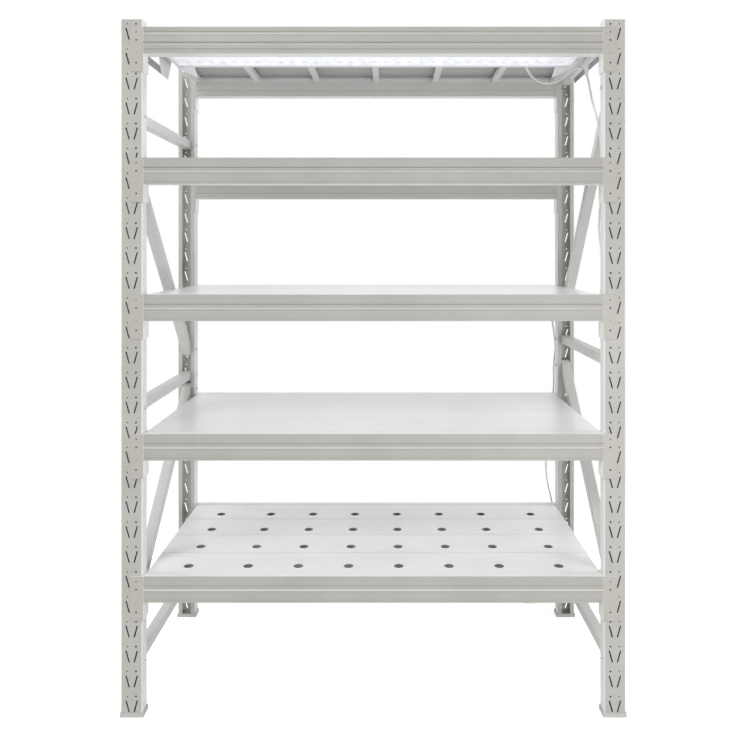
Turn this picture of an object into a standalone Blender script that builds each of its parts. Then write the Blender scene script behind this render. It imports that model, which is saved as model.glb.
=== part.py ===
"""Hydroponic rack: slotted steel uprights, step beams hooked into them, boards laid on cross
frames, perforated planting boards over a nutrient tray on the lowest tier, and a grow lamp
with its lead under the top one.

Metres, +Z up, front towards -Y. The origin is the middle of the footprint, on the floor.
"""
import math

import bpy
import bmesh
from mathutils import Matrix, Vector

# Whole rack: width over the uprights, depth and height
RACK_WIDTH = 1.520
RACK_DEPTH = 0.650
RACK_HEIGHT = 2.100
TIER_TOP_SHARES = (0.2019, 0.4057, 0.6055, 0.8017, 0.98905)

# Clearances that several pieces share
SEAT_GAP = 0.0003
WELD_OVERLAP = 0.0004
CUT_OVERRUN = 0.003

# Upright: a channel with returned lips, its web facing out
UPRIGHT_WIDTH = 0.065
UPRIGHT_DEPTH = 0.042
UPRIGHT_WALL = 0.002
UPRIGHT_BEND = 0.003

# Slots: two rows leaning apart towards the top, in the web of each upright
SLOT_PITCH = 0.075
SLOT_LENGTH = 0.035
SLOT_WIDTH = 0.0045
FIRST_SLOT_BOTTOM = 0.014
SLOT_TOP_OFFSET = 0.017
SLOT_BOTTOM_OFFSET = 0.0075

# Plastic foot under each upright
FOOT_FLOOR = 0.004
FOOT_WALL = 0.0027
FOOT_HEIGHT = 0.012

# Step beam: a tube with a ledge along its inner side
BEAM_HEIGHT = 0.080
BEAM_DEPTH = 0.042
BEAM_TOP_DEPTH = 0.026
BEAM_STEP = 0.028
BEAM_WALL = 0.002
BEAM_SETBACK = 0.001
GROOVE_DEPTH = 0.0025
GROOVE_SLOPE = 0.002
LIP_INSET = 0.0012
GROOVE_SHARES = (0.350, 0.5375)
LIP_SHARE = 0.8875
TOP_CREASE_SHARES = (0.190, 0.250)
TOP_GROOVE_SHARES = (0.5625, 0.675)
TOP_LIP_SHARE = 0.8625

# Connector: the angle plate welded to each beam end, with its hooks
PLATE_THICKNESS = 0.003
PLATE_HEIGHT = 0.134
PLATE_FACE_WIDTH = 0.036
PLATE_SIDE_DEPTH = 0.050
PLATE_HOLE_RADIUS = 0.0025
PLATE_HOLE_SHARES = (0.2985, 0.806)
VENT_RADIUS = 0.006
HOOK_THICKNESS = 0.003
HOOK_NECK_HEIGHT = 0.010
HOOK_NOSE_DROP = 0.010
HOOK_NOSE_DEPTH = 0.003
HOOK_MARGIN = 0.001

# Side frame braces: channels held between the lips of the uprights
BRACE_WIDTH = 0.032
BRACE_HEIGHT = 0.030
BRACE_WALL = 0.002
BRACE_SIDE_GAP = 0.0003
BRACE_END_GAP = 0.014
BRACE_SHARES = {
    "left": {
        "low_strut": (0.0729, 0.0729),
        "low_diagonal": (0.1552, 0.4210),
        "middle_strut": (0.4410, 0.4410),
        "high_diagonal": (0.7881, 0.4810),
        "high_strut": (0.8619, 0.8619),
    },
    "right": {
        "low_strut": (0.0762, 0.0762),
        "low_diagonal": (0.1814, 0.4643),
        "middle_strut": (0.5067, 0.5067),
        "high_diagonal": (0.9119, 0.5576),
        "high_strut": (0.9786, 0.9786),
    },
}

# Cross frame on the ledges of each pair of beams
DECK_END_GAP = 0.0007
DECK_EDGE_GAP = 0.0008
FRAME_RAIL_WIDTH = 0.0135
FRAME_BAR_WIDTH = 0.022
FRAME_WALL = 0.0015
FRAME_BARS = 7
PLANTING_BAR_SHARES = (-1, -0.7096, -0.4588, -0.2294, 0, 0.2294, 0.4588, 0.7096, 1)

# Boards: shallow covers, open below
BOARD_HEIGHT = 0.010
BOARD_WALL = 0.0015
BOARD_END_INSET = 0.001
BOARD_SEAM = 0.001
BOARDS_PER_TIER = 4

# Planting holes in the boards of the lowest tier
HOLE_RADIUS = 0.015
HOLE_SIDES = 12
HOLE_ROW_SHARE = 0.317
HOLE_SHARES = (-0.8333, -0.5652, -0.3391, -0.1130, 0.1130, 0.3391, 0.5652, 0.8333)

# Nutrient tray hung by its rim under the planting boards
TRAY_WALL = 0.002
TRAY_DEPTH = 0.040
TRAY_BEAM_GAP = 0.002
TRAY_END_INSET = 0.006

# Lamp under the top tier
LAMP_HEIGHT = 0.022
LAMP_WIDTH = 0.240
LAMP_END_GAP = 0.026
LAMP_BEAM_GAP = 0.002
LAMP_WALL = 0.002
LENS_THICKNESS = 0.003
LENS_RECESS = 0.001
HANGER_SHEET = 0.002
HANGER_LEDGE = 0.010
HANGER_WIDTHS = {"left": 0.148, "right": 0.075}
HANGER_BACK_SHARES = {"left": 0.99, "right": 0.71}
EAR_DROP = 0.074
EAR_FOOT_SHARE = 0.47

# Lead of the lamp: gland, free stretch, coil and plug
LEAD_RADIUS = 0.0035
LEAD_POINTS = 80
GLAND_INSET = 0.2075
GLAND_RADIUS = 0.0075
GLAND_TIP_RADIUS = 0.0045
GLAND_LENGTH = 0.022
COIL_INSET = 0.1275
COIL_BEHIND = 0.110
COIL_OUTER_RADIUS = 0.046
COIL_TURNS_PER_LAYER = 2
COIL_PITCH = 0.0076
COIL_STEPS = 24
COIL_TAIL = 0.021
FLOOR_GAP = 0.0002
PLUG_LENGTH = 0.034
PLUG_HEIGHT = 0.0215
PLUG_WIDTH = 0.026
PLUG_BEVEL = 0.004
PLUG_NECK_LENGTH = 0.018
PLUG_NECK_RADIUS = 0.008
PIN_LENGTH = 0.017
PIN_HEIGHT = 0.0062
PIN_THICKNESS = 0.0016
PIN_SPACING = 0.0127

# Sides of small and large round pieces, and the angle past which an edge stays sharp
SMALL_SIDES = 8
ROUND_SIDES = 16
SHARP_ANGLE = math.radians(40)

# Finishes: colour, roughness and metallic value
GREY_PAINT = ((0.60, 0.59, 0.56), 0.45, 0)
BEAM_PAINT = ((0.55, 0.54, 0.51), 0.45, 0)
WHITE_PAINT = ((0.86, 0.86, 0.85), 0.40, 0)
WHITE_PLASTIC = ((0.88, 0.88, 0.88), 0.35, 0)
TRAY_PLASTIC = ((0.78, 0.78, 0.78), 0.40, 0)
LENS_PLASTIC = ((0.95, 0.95, 0.98), 0.25, 0)
FOOT_PLASTIC = ((0.58, 0.57, 0.54), 0.55, 0)
CORD_PLASTIC = ((0.82, 0.82, 0.81), 0.50, 0)

# Places that follow from the sizes above
FRONT_Y = -RACK_DEPTH / 2
UPRIGHT_X = RACK_WIDTH / 2 - UPRIGHT_WIDTH / 2
UPRIGHT_Y = FRONT_Y + PLATE_THICKNESS + SEAT_GAP
UPRIGHT_Z = FOOT_FLOOR + SEAT_GAP
PLATE_OUTER_X = RACK_WIDTH / 2 - UPRIGHT_WIDTH - SEAT_GAP
PLATE_INNER_X = PLATE_OUTER_X - PLATE_THICKNESS
LIP_X = BRACE_WIDTH / 2 + BRACE_SIDE_GAP
SLOT_LEAN = (SLOT_TOP_OFFSET - SLOT_BOTTOM_OFFSET) / SLOT_LENGTH
SLOT_ROWS = int((RACK_HEIGHT - FIRST_SLOT_BOTTOM - SLOT_LENGTH) / SLOT_PITCH) + 1
TIER_TOPS = [share * RACK_HEIGHT for share in TIER_TOP_SHARES]
DECK_FRONT_Y = FRONT_Y + BEAM_SETBACK + BEAM_TOP_DEPTH + DECK_EDGE_GAP
DECK_HALF = PLATE_INNER_X - DECK_END_GAP
BOARD_HALF = DECK_HALF - BOARD_END_INSET
BOARD_WIDTH = (-2 * DECK_FRONT_Y - (BOARDS_PER_TIER - 1) * BOARD_SEAM) / BOARDS_PER_TIER
FRAME_BOTTOM = -BEAM_STEP + SEAT_GAP
FRAME_TOP = -BOARD_HEIGHT - SEAT_GAP
END_BAR_X = DECK_HALF - FRAME_BAR_WIDTH / 2
LAMP_TOP = TIER_TOPS[-1] - BEAM_STEP
LAMP_HALF = DECK_HALF - LAMP_END_GAP
LAMP_FRONT_Y = FRONT_Y + BEAM_SETBACK + BEAM_DEPTH + LAMP_BEAM_GAP
LAMP_BACK_Y = LAMP_FRONT_Y + LAMP_WIDTH
FLOOR_Z = LEAD_RADIUS + FLOOR_GAP
COIL_Y = -FRONT_Y + COIL_BEHIND
COIL_X = UPRIGHT_X - COIL_INSET
GLAND_X = UPRIGHT_X - GLAND_INSET

# Outline plane to world: an outline in Y and Z pulled out along X, and one in X and Z along Y
ALONG_X = Matrix(((0, 0, 1, 0), (1, 0, 0, 0), (0, 1, 0, 0), (0, 0, 0, 1)))
ALONG_Y = Matrix.Rotation(math.pi / 2, 4, "X")

# The free stretch of the lead, chosen by hand: down from the lamp, across, and down the back;
# X is taken from the middle of the right uprights
LEAD_ROUTE = (
    (-0.2075, -0.0174, 2.0380),
    (-0.2075, -0.0070, 2.0370),
    (-0.1995, 0.0070, 2.0270),
    (-0.1795, 0.0140, 2.0050),
    (-0.1525, 0.0110, 1.9870),
    (-0.1255, 0.0030, 1.9820),
    (-0.0985, -0.0100, 1.9870),
    (-0.0755, -0.0250, 2.0010),
    (-0.0575, -0.0420, 2.0130),
    (-0.0405, -0.0650, 2.0170),
    (-0.0275, -0.0930, 2.0030),
    (-0.0245, -0.1220, 1.9610),
    (-0.0245, -0.1650, 1.8900),
    (-0.0245, -0.2200, 1.8180),
    (-0.0235, -0.2560, 1.7400),
    (-0.0235, -0.2670, 1.6500),
    (-0.0235, -0.2610, 1.5700),
    (-0.0245, -0.2460, 1.5140),
    (-0.0255, -0.2460, 1.4650),
    (-0.0245, -0.2620, 1.4150),
    (-0.0235, -0.2680, 1.3500),
    (-0.0235, -0.2620, 1.2800),
    (-0.0245, -0.2320, 1.2260),
    (-0.0255, -0.1720, 1.1980),
    (-0.0255, -0.0650, 1.1860),
    (-0.0265, 0.0550, 1.1800),
    (-0.0295, 0.1650, 1.1720),
    (-0.0375, 0.2350, 1.1640),
    (-0.0435, 0.2850, 1.1560),
    (-0.0435, 0.3180, 1.1420),
    (-0.0375, 0.3360, 1.1130),
    (-0.0285, 0.3430, 1.0680),
    (-0.0255, 0.3440, 1.0200),
    (-0.0315, 0.3440, 0.9700),
    (-0.0305, 0.3440, 0.9050),
    (-0.0345, 0.3440, 0.8400),
    (-0.0455, 0.3440, 0.7600),
    (-0.0585, 0.3430, 0.6600),
    (-0.0635, 0.3430, 0.5700),
    (-0.0585, 0.3440, 0.5100),
    (-0.0475, 0.3450, 0.4600),
    (-0.0345, 0.3490, 0.3900),
    (-0.0305, 0.3570, 0.3000),
    (-0.0335, 0.3670, 0.2000),
    (-0.0395, 0.3760, 0.1150),
    (-0.0495, 0.3830, 0.0550),
    (-0.0655, 0.3870, 0.0190),
    (-0.0875, 0.3890, 0.0058),
    (-0.1045, 0.3890, 0.0037),
    (-0.1202, 0.3890, 0.0037),
)


def clear_scene():
    for old in list(bpy.data.objects):
        bpy.data.objects.remove(old, do_unlink=True)


def make_collection(name):
    group = bpy.data.collections.new(name)
    bpy.context.scene.collection.children.link(group)
    return group


def make_material(name, colour, roughness, metallic):
    surface = bpy.data.materials.new(name)
    surface.use_nodes = True
    shader = surface.node_tree.nodes["Principled BSDF"]
    shader.inputs["Base Color"].default_value = (*colour, 1)
    shader.inputs["Roughness"].default_value = roughness
    shader.inputs["Metallic"].default_value = metallic
    return surface


def add_piece(name, mesh, finish, place=(0, 0, 0), behind=False):
    """Puts a mesh in the model as one named piece; behind turns it half round for the rear."""
    piece = bpy.data.objects.new(name, mesh)
    parts.objects.link(piece)
    mesh.materials.clear()
    mesh.materials.append(make_material(name, *finish))
    mesh.shade_smooth()
    mesh.set_sharp_from_angle(angle=SHARP_ANGLE)
    x, y, z = place
    piece.location = (x, -y, z) if behind else (x, y, z)
    piece.rotation_euler.z = math.pi if behind else 0
    return piece


def mesh_from_curve(curve, name):
    """The evaluated mesh of a curve, its loose caps welded and its faces turned out."""
    source = bpy.data.objects.new(name, curve)
    bpy.context.scene.collection.objects.link(source)
    graph = bpy.context.evaluated_depsgraph_get()
    graph.update()
    mesh = bpy.data.meshes.new_from_object(source.evaluated_get(graph))
    bpy.data.objects.remove(source, do_unlink=True)
    bpy.data.curves.remove(curve)
    work = bmesh.new()
    work.from_mesh(mesh)
    bmesh.ops.remove_doubles(work, verts=work.verts, dist=SEAT_GAP / 10)
    bmesh.ops.recalc_face_normals(work, faces=work.faces)
    work.to_mesh(mesh)
    work.free()
    mesh.name = name
    return mesh


def outline_mesh(name, loops, thickness, matrix=None):
    """Flat closed loops, the later ones holes, given a thickness about their own plane."""
    curve = bpy.data.curves.new(name, "CURVE")
    curve.dimensions = "2D"
    curve.fill_mode = "BOTH"
    curve.extrude = thickness / 2
    for loop in loops:
        spline = curve.splines.new("POLY")
        spline.points.add(len(loop) - 1)
        for point, (across, up) in zip(spline.points, loop):
            point.co = (across, up, 0, 1)
        spline.use_cyclic_u = True
    mesh = mesh_from_curve(curve, name)
    if matrix is not None:
        mesh.transform(matrix)
    return mesh


def box_mesh(name, low, high):
    low = Vector(low)
    high = Vector(high)
    work = bmesh.new()
    place = Matrix.Translation((low + high) / 2) @ Matrix.Diagonal((*(high - low), 1))
    bmesh.ops.create_cube(work, size=1, matrix=place)
    mesh = bpy.data.meshes.new(name)
    work.to_mesh(mesh)
    work.free()
    return mesh


def rod_mesh(name, radius, end_radius, length, sides, matrix):
    """A round bar or cone along local Z, centred on it."""
    work = bmesh.new()
    bmesh.ops.create_cone(
        work,
        cap_ends=True,
        segments=sides,
        radius1=radius,
        radius2=end_radius,
        depth=length,
        matrix=matrix,
    )
    mesh = bpy.data.meshes.new(name)
    work.to_mesh(mesh)
    work.free()
    return mesh


def gathered(name, meshes):
    """Several meshes in one, each still its own island, for use as one tool."""
    work = bmesh.new()
    for mesh in meshes:
        work.from_mesh(mesh)
        bpy.data.meshes.remove(mesh)
    result = bpy.data.meshes.new(name)
    work.to_mesh(result)
    work.free()
    return result


def combined(mesh, tool, operation):
    """The mesh after one exact Boolean with the tool mesh."""
    target = bpy.data.objects.new(mesh.name, mesh)
    cutter = bpy.data.objects.new("cutter", tool)
    for thing in (target, cutter):
        cutters.objects.link(thing)
    cutter.hide_render = True
    cutter.display_type = "WIRE"
    step = target.modifiers.new("step", "BOOLEAN")
    step.operation = operation
    step.solver = "EXACT"
    step.object = cutter
    graph = bpy.context.evaluated_depsgraph_get()
    graph.update()
    result = bpy.data.meshes.new_from_object(target.evaluated_get(graph))
    result.name = mesh.name
    for thing in (target, cutter):
        bpy.data.objects.remove(thing, do_unlink=True)
    return result


def cut(mesh, tool):
    return combined(mesh, tool, "DIFFERENCE")


def weld(mesh, others):
    for other in others:
        mesh = combined(mesh, other, "UNION")
    return mesh


def inset_loop(loop, distance):
    """A clockwise closed loop moved inwards by a distance, its corners mitred."""
    moved = []
    for index, point in enumerate(loop):
        here = Vector(point)
        back = (here - Vector(loop[index - 1])).normalized()
        ahead = (Vector(loop[(index + 1) % len(loop)]) - here).normalized()
        back_normal = Vector((back.y, -back.x))
        ahead_normal = Vector((ahead.y, -ahead.x))
        mitre = (back_normal + ahead_normal) / (1 + back_normal.dot(ahead_normal))
        moved.append(tuple(here + mitre * distance))
    return moved


def channel_loop(width, height, wall, open_up=True):
    """A channel's outline from its middle and its top edge, open upwards or downwards."""
    half = width / 2
    inner = half - wall
    shut, mouth = (-height, 0) if open_up else (0, -height)
    floor = shut + wall if open_up else shut - wall
    return [
        (-half, mouth),
        (-half, shut),
        (half, shut),
        (half, mouth),
        (inner, mouth),
        (inner, floor),
        (-inner, floor),
        (-inner, mouth),
    ]


# Uprights and feet

def slot_bottom(row):
    return FIRST_SLOT_BOTTOM + row * SLOT_PITCH


def upright_loop():
    """Half the section from the middle of the web round to the lip, then its mirror image."""
    half = UPRIGHT_WIDTH / 2
    bend = UPRIGHT_BEND
    right = [
        (half - bend, 0),
        (half, bend),
        (half, UPRIGHT_DEPTH - bend),
        (half - bend, UPRIGHT_DEPTH),
        (LIP_X, UPRIGHT_DEPTH),
        (LIP_X, UPRIGHT_DEPTH - UPRIGHT_WALL),
        (half - UPRIGHT_WALL, UPRIGHT_DEPTH - UPRIGHT_WALL),
        (half - UPRIGHT_WALL, UPRIGHT_WALL),
    ]
    left = [(-across, back) for across, back in reversed(right)]
    return right + left


def slot_cutters():
    """One leaning block for each slot, both rows, from the foot to the top."""
    work = bmesh.new()
    depth = UPRIGHT_WALL + 2 * CUT_OVERRUN
    for row in range(SLOT_ROWS):
        for side in (-1, 1):
            for corner in bmesh.ops.create_cube(work, size=1)["verts"]:
                share = corner.co.z + 1 / 2
                offset = SLOT_BOTTOM_OFFSET + share * SLOT_LEAN * SLOT_LENGTH
                corner.co = (
                    side * offset + corner.co.x * SLOT_WIDTH,
                    corner.co.y * depth + UPRIGHT_WALL / 2,
                    slot_bottom(row) - UPRIGHT_Z + share * SLOT_LENGTH,
                )
    mesh = bpy.data.meshes.new("slots")
    work.to_mesh(mesh)
    work.free()
    return mesh


def corners():
    """The four corners of the rack: the name of each, its X sign and whether it is at the rear."""
    return [
        (f"{end}_{side}", sign, end == "rear")
        for end in ("front", "rear")
        for side, sign in (("left", -1), ("right", 1))
    ]


def build_uprights():
    height = RACK_HEIGHT - UPRIGHT_Z
    middle = Matrix.Translation((0, 0, height / 2))
    mesh = cut(outline_mesh("post", [upright_loop()], height, middle), slot_cutters())
    for corner, sign, behind in corners():
        place = (sign * UPRIGHT_X, UPRIGHT_Y, UPRIGHT_Z)
        add_piece(f"post_{corner}", mesh.copy(), GREY_PAINT, place, behind)


def build_feet():
    inner_x = UPRIGHT_WIDTH / 2 + SEAT_GAP
    inner_back = UPRIGHT_DEPTH + SEAT_GAP
    body = box_mesh(
        "foot",
        (-inner_x - FOOT_WALL, -SEAT_GAP - FOOT_WALL, 0),
        (inner_x + FOOT_WALL, inner_back + FOOT_WALL, FOOT_HEIGHT),
    )
    pocket = box_mesh(
        "pocket",
        (-inner_x, -SEAT_GAP, FOOT_FLOOR),
        (inner_x, inner_back, FOOT_HEIGHT + CUT_OVERRUN),
    )
    mesh = cut(body, pocket)
    for corner, sign, behind in corners():
        add_piece(f"foot_{corner}", mesh.copy(), FOOT_PLASTIC, (sign * UPRIGHT_X, UPRIGHT_Y, 0), behind)


# Step beams and their connectors

def groove_points(shares, depth):
    """A shallow pressed groove in the beam's front, from its top edge down."""
    top, bottom = (-share * BEAM_HEIGHT for share in shares)
    slope = min(GROOVE_SLOPE, (top - bottom) / 3)
    front = BEAM_SETBACK
    return [
        (front, top),
        (front + depth, top - slope),
        (front + depth, bottom + slope),
        (front, bottom),
    ]


def beam_loop(is_top):
    """The beam's outline in Y and Z, clockwise from the front top edge."""
    front = BEAM_SETBACK
    back = front + BEAM_DEPTH
    shoulder = front + BEAM_TOP_DEPTH
    lip = -(TOP_LIP_SHARE if is_top else LIP_SHARE) * BEAM_HEIGHT
    face = []
    if is_top:
        face += groove_points(TOP_CREASE_SHARES, LIP_INSET)
        face += groove_points(TOP_GROOVE_SHARES, GROOVE_DEPTH)
    else:
        face += groove_points(GROOVE_SHARES, GROOVE_DEPTH)
    face += [(front, lip), (front + LIP_INSET, lip - LIP_INSET), (front + LIP_INSET, -BEAM_HEIGHT)]
    rear = [
        (front, 0),
        (shoulder, 0),
        (shoulder, -BEAM_STEP),
        (back, -BEAM_STEP),
        (back, -BEAM_HEIGHT),
    ]
    return rear + face[::-1]


def hook_rows(top):
    """The slot rows that a connector whose top is at this height can hook into."""
    rows = []
    for row in range(SLOT_ROWS):
        low = slot_bottom(row) + SEAT_GAP
        if low >= top - PLATE_HEIGHT + HOOK_MARGIN and low + HOOK_NECK_HEIGHT <= top - HOOK_MARGIN:
            rows.append(row)
    return rows


def plate_mesh(side):
    """One angle plate: its face lies on the upright's web, its side leg along the flank."""
    outer = side * (PLATE_OUTER_X + PLATE_FACE_WIDTH)
    loop = [
        (outer, 0),
        (side * PLATE_INNER_X, 0),
        (side * PLATE_INNER_X, PLATE_SIDE_DEPTH),
        (side * PLATE_OUTER_X, PLATE_SIDE_DEPTH),
        (side * PLATE_OUTER_X, PLATE_THICKNESS),
        (outer, PLATE_THICKNESS),
    ]
    return outline_mesh("plate", [loop], PLATE_HEIGHT, Matrix.Translation((0, 0, -PLATE_HEIGHT / 2)))


def hook_mesh(side, height):
    """A hook that goes through the slot and down behind the web, leaning as the slot does."""
    root = PLATE_THICKNESS / 2
    nose = PLATE_THICKNESS + 2 * SEAT_GAP + UPRIGHT_WALL
    tip = nose + HOOK_NOSE_DEPTH
    profile = [
        (root, HOOK_NECK_HEIGHT),
        (tip, HOOK_NECK_HEIGHT),
        (tip, -HOOK_NOSE_DROP),
        (nose, -HOOK_NOSE_DROP),
        (nose, 0),
        (root, 0),
    ]
    lean = Matrix.Identity(4)
    lean[0][2] = -side * SLOT_LEAN
    reach = SLOT_BOTTOM_OFFSET + SLOT_LEAN * SEAT_GAP
    place = Matrix.Translation((side * (UPRIGHT_X - reach), 0, height))
    return outline_mesh("hook", [profile], HOOK_THICKNESS, place @ lean @ ALONG_X)


def connector_holes(side):
    """Two small holes in the face of a connector, and the vent into the tube of the beam."""
    holes = []
    face_x = side * (PLATE_OUTER_X + PLATE_FACE_WIDTH / 2)
    length = PLATE_THICKNESS + 2 * CUT_OVERRUN
    for share in PLATE_HOLE_SHARES:
        place = Matrix.Translation((face_x, PLATE_THICKNESS / 2, -share * PLATE_HEIGHT))
        radius = PLATE_HOLE_RADIUS
        holes.append(rod_mesh("hole", radius, radius, length, SMALL_SIDES, place @ ALONG_Y))
    vent_x = side * (PLATE_INNER_X + PLATE_THICKNESS / 2)
    vent_y = BEAM_SETBACK + BEAM_DEPTH / 2
    place = Matrix.Translation((vent_x, vent_y, -(BEAM_STEP + BEAM_HEIGHT) / 2))
    turn = Matrix.Rotation(math.pi / 2, 4, "Y")
    holes.append(rod_mesh("vent", VENT_RADIUS, VENT_RADIUS, length, SMALL_SIDES, place @ turn))
    return holes


def beam_mesh(top, is_top):
    outer = beam_loop(is_top)
    length = 2 * (PLATE_INNER_X + WELD_OVERLAP)
    mesh = outline_mesh("beam", [outer, inset_loop(outer, BEAM_WALL)], length, ALONG_X)
    holes = []
    for side in (-1, 1):
        hooks = [hook_mesh(side, slot_bottom(row) + SEAT_GAP - top) for row in hook_rows(top)]
        mesh = weld(mesh, [plate_mesh(side)] + hooks)
        holes += connector_holes(side)
    return cut(mesh, gathered("holes", holes))


def build_beams():
    for number, top in enumerate(TIER_TOPS, start=1):
        mesh = beam_mesh(top, number == len(TIER_TOPS))
        for end in ("front", "rear"):
            add_piece(f"beam_{end}_{number}", mesh.copy(), BEAM_PAINT, (0, FRONT_Y, top), end == "rear")


# Side frame braces

def brace_mesh(front_height, rear_height):
    """A channel across the side frame in the plane x = 0, its web towards -X."""
    tilt = math.atan2(rear_height - front_height, RACK_DEPTH - 2 * BRACE_END_GAP)
    inset = BRACE_END_GAP + BRACE_HEIGHT / 2 * abs(math.sin(tilt))
    front = Vector((0, FRONT_Y + inset, front_height))
    rear = Vector((0, -FRONT_Y - inset, rear_height))
    run = rear - front
    web_left = Matrix.Rotation(-math.pi / 2, 4, "Z")
    lie = Matrix.Rotation(math.atan2(run.z, run.y), 4, "X") @ ALONG_Y
    centre = Matrix.Translation((front + rear) / 2)
    loop = channel_loop(BRACE_HEIGHT, BRACE_WIDTH, BRACE_WALL)
    raised = [(across, up + BRACE_WIDTH / 2) for across, up in loop]
    return outline_mesh("brace", [raised], run.length, centre @ lie @ web_left)


def build_braces():
    for side, sign in (("left", -1), ("right", 1)):
        for name, shares in BRACE_SHARES[side].items():
            front, rear = (share * RACK_HEIGHT for share in shares)
            mesh = brace_mesh(front, rear) if sign > 0 else brace_mesh(rear, front)
            place = (sign * UPRIGHT_X, 0, 0)
            add_piece(f"brace_{side}_{name}", mesh, GREY_PAINT, place, sign < 0)


# Cross frames and boards

def frame_mesh(bar_places, bottom):
    """Two rails on the beam ledges, with cross bars welded between them."""
    height = FRAME_TOP - bottom
    rail_y = -DECK_FRONT_Y - FRAME_RAIL_WIDTH / 2
    rail = channel_loop(FRAME_RAIL_WIDTH, height, FRAME_WALL)
    rails = []
    for side in (-1, 1):
        place = Matrix.Translation((0, side * rail_y, FRAME_TOP))
        rails.append(outline_mesh("rail", [rail], 2 * DECK_HALF, place @ ALONG_X))
    length = 2 * (rail_y - FRAME_RAIL_WIDTH / 2 + WELD_OVERLAP)
    bar = channel_loop(FRAME_BAR_WIDTH, height, FRAME_WALL)
    bars = []
    for x in bar_places:
        place = Matrix.Translation((x, 0, FRAME_TOP))
        bars.append(outline_mesh("bar", [bar], length, place @ ALONG_Y))
    return weld(gathered("frame", rails), [gathered("bars", bars)])


def build_frames():
    last = FRAME_BARS - 1
    even_places = [END_BAR_X * (2 * index / last - 1) for index in range(FRAME_BARS)]
    planting_places = [END_BAR_X * share for share in PLANTING_BAR_SHARES]
    for number, top in enumerate(TIER_TOPS, start=1):
        if number == 1:
            mesh = frame_mesh(planting_places, FRAME_BOTTOM + TRAY_WALL + SEAT_GAP)
        else:
            mesh = frame_mesh(even_places, FRAME_BOTTOM)
        add_piece(f"deck_frame_{number}", mesh, BEAM_PAINT, (0, 0, top))


def board_mesh(width):
    loop = channel_loop(width, BOARD_HEIGHT, BOARD_WALL, open_up=False)
    return outline_mesh("board", [loop], 2 * BOARD_HALF, ALONG_X)


def planting_board_mesh():
    drills = []
    row_y = (HOLE_ROW_SHARE - 1 / 2) * BOARD_WIDTH
    length = BOARD_WALL + 2 * CUT_OVERRUN
    for share in HOLE_SHARES:
        place = Matrix.Translation((share * BOARD_HALF, row_y, -BOARD_WALL / 2))
        drills.append(rod_mesh("drill", HOLE_RADIUS, HOLE_RADIUS, length, HOLE_SIDES, place))
    return cut(board_mesh(BOARD_WIDTH), gathered("drills", drills))


def build_boards():
    for number, top in enumerate(TIER_TOPS, start=1):
        if number == len(TIER_TOPS):
            add_piece("top_board", board_mesh(-2 * DECK_FRONT_Y), WHITE_PAINT, (0, 0, top))
            continue
        for index in range(BOARDS_PER_TIER):
            y = DECK_FRONT_Y + BOARD_WIDTH / 2 + index * (BOARD_WIDTH + BOARD_SEAM)
            if number == 1:
                name = f"planting_board_{index + 1}"
                add_piece(name, planting_board_mesh(), WHITE_PLASTIC, (0, y, top))
            else:
                name = f"board_{number}_{index + 1}"
                add_piece(name, board_mesh(BOARD_WIDTH), WHITE_PAINT, (0, y, top))


def build_tray():
    rim_top = FRAME_BOTTOM + TRAY_WALL
    front = FRONT_Y + BEAM_SETBACK + BEAM_DEPTH + TRAY_BEAM_GAP
    half = DECK_HALF - TRAY_END_INSET
    bottom = FRAME_BOTTOM - TRAY_DEPTH
    rim = box_mesh("tray", (-BOARD_HALF, DECK_FRONT_Y, FRAME_BOTTOM), (BOARD_HALF, -DECK_FRONT_Y, rim_top))
    basin = box_mesh("basin", (-half, front, bottom), (half, -front, rim_top - TRAY_WALL / 2))
    pocket = box_mesh(
        "pocket",
        (-half + TRAY_WALL, front + TRAY_WALL, bottom + TRAY_WALL),
        (half - TRAY_WALL, -front - TRAY_WALL, rim_top + CUT_OVERRUN),
    )
    add_piece("nutrient_tray", cut(weld(rim, [basin]), pocket), TRAY_PLASTIC, (0, 0, TIER_TOPS[0]))


# Lamp

def build_lamp():
    low = LAMP_TOP - LAMP_HEIGHT
    wall = LAMP_WALL
    body = box_mesh("lamp", (-LAMP_HALF, LAMP_FRONT_Y, low), (LAMP_HALF, LAMP_BACK_Y, LAMP_TOP))
    pocket = box_mesh(
        "pocket",
        (-LAMP_HALF + wall, LAMP_FRONT_Y + wall, low - CUT_OVERRUN),
        (LAMP_HALF - wall, LAMP_BACK_Y - wall, LAMP_TOP - wall),
    )
    add_piece("lamp_housing", cut(body, pocket), WHITE_PAINT)
    edge = wall + SEAT_GAP
    lens_low = low + LENS_RECESS
    lens = box_mesh(
        "lens",
        (-LAMP_HALF + edge, LAMP_FRONT_Y + edge, lens_low),
        (LAMP_HALF - edge, LAMP_BACK_Y - edge, lens_low + LENS_THICKNESS),
    )
    add_piece("lamp_lens", lens, LENS_PLASTIC)
    middle = LAMP_BACK_Y + SEAT_GAP + GLAND_LENGTH / 2
    place = Matrix.Translation((GLAND_X, middle, LAMP_TOP - LAMP_HEIGHT / 2)) @ ALONG_Y
    gland = rod_mesh("gland", GLAND_TIP_RADIUS, GLAND_RADIUS, GLAND_LENGTH, ROUND_SIDES, place)
    add_piece("lamp_gland", gland, WHITE_PLASTIC)


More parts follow.
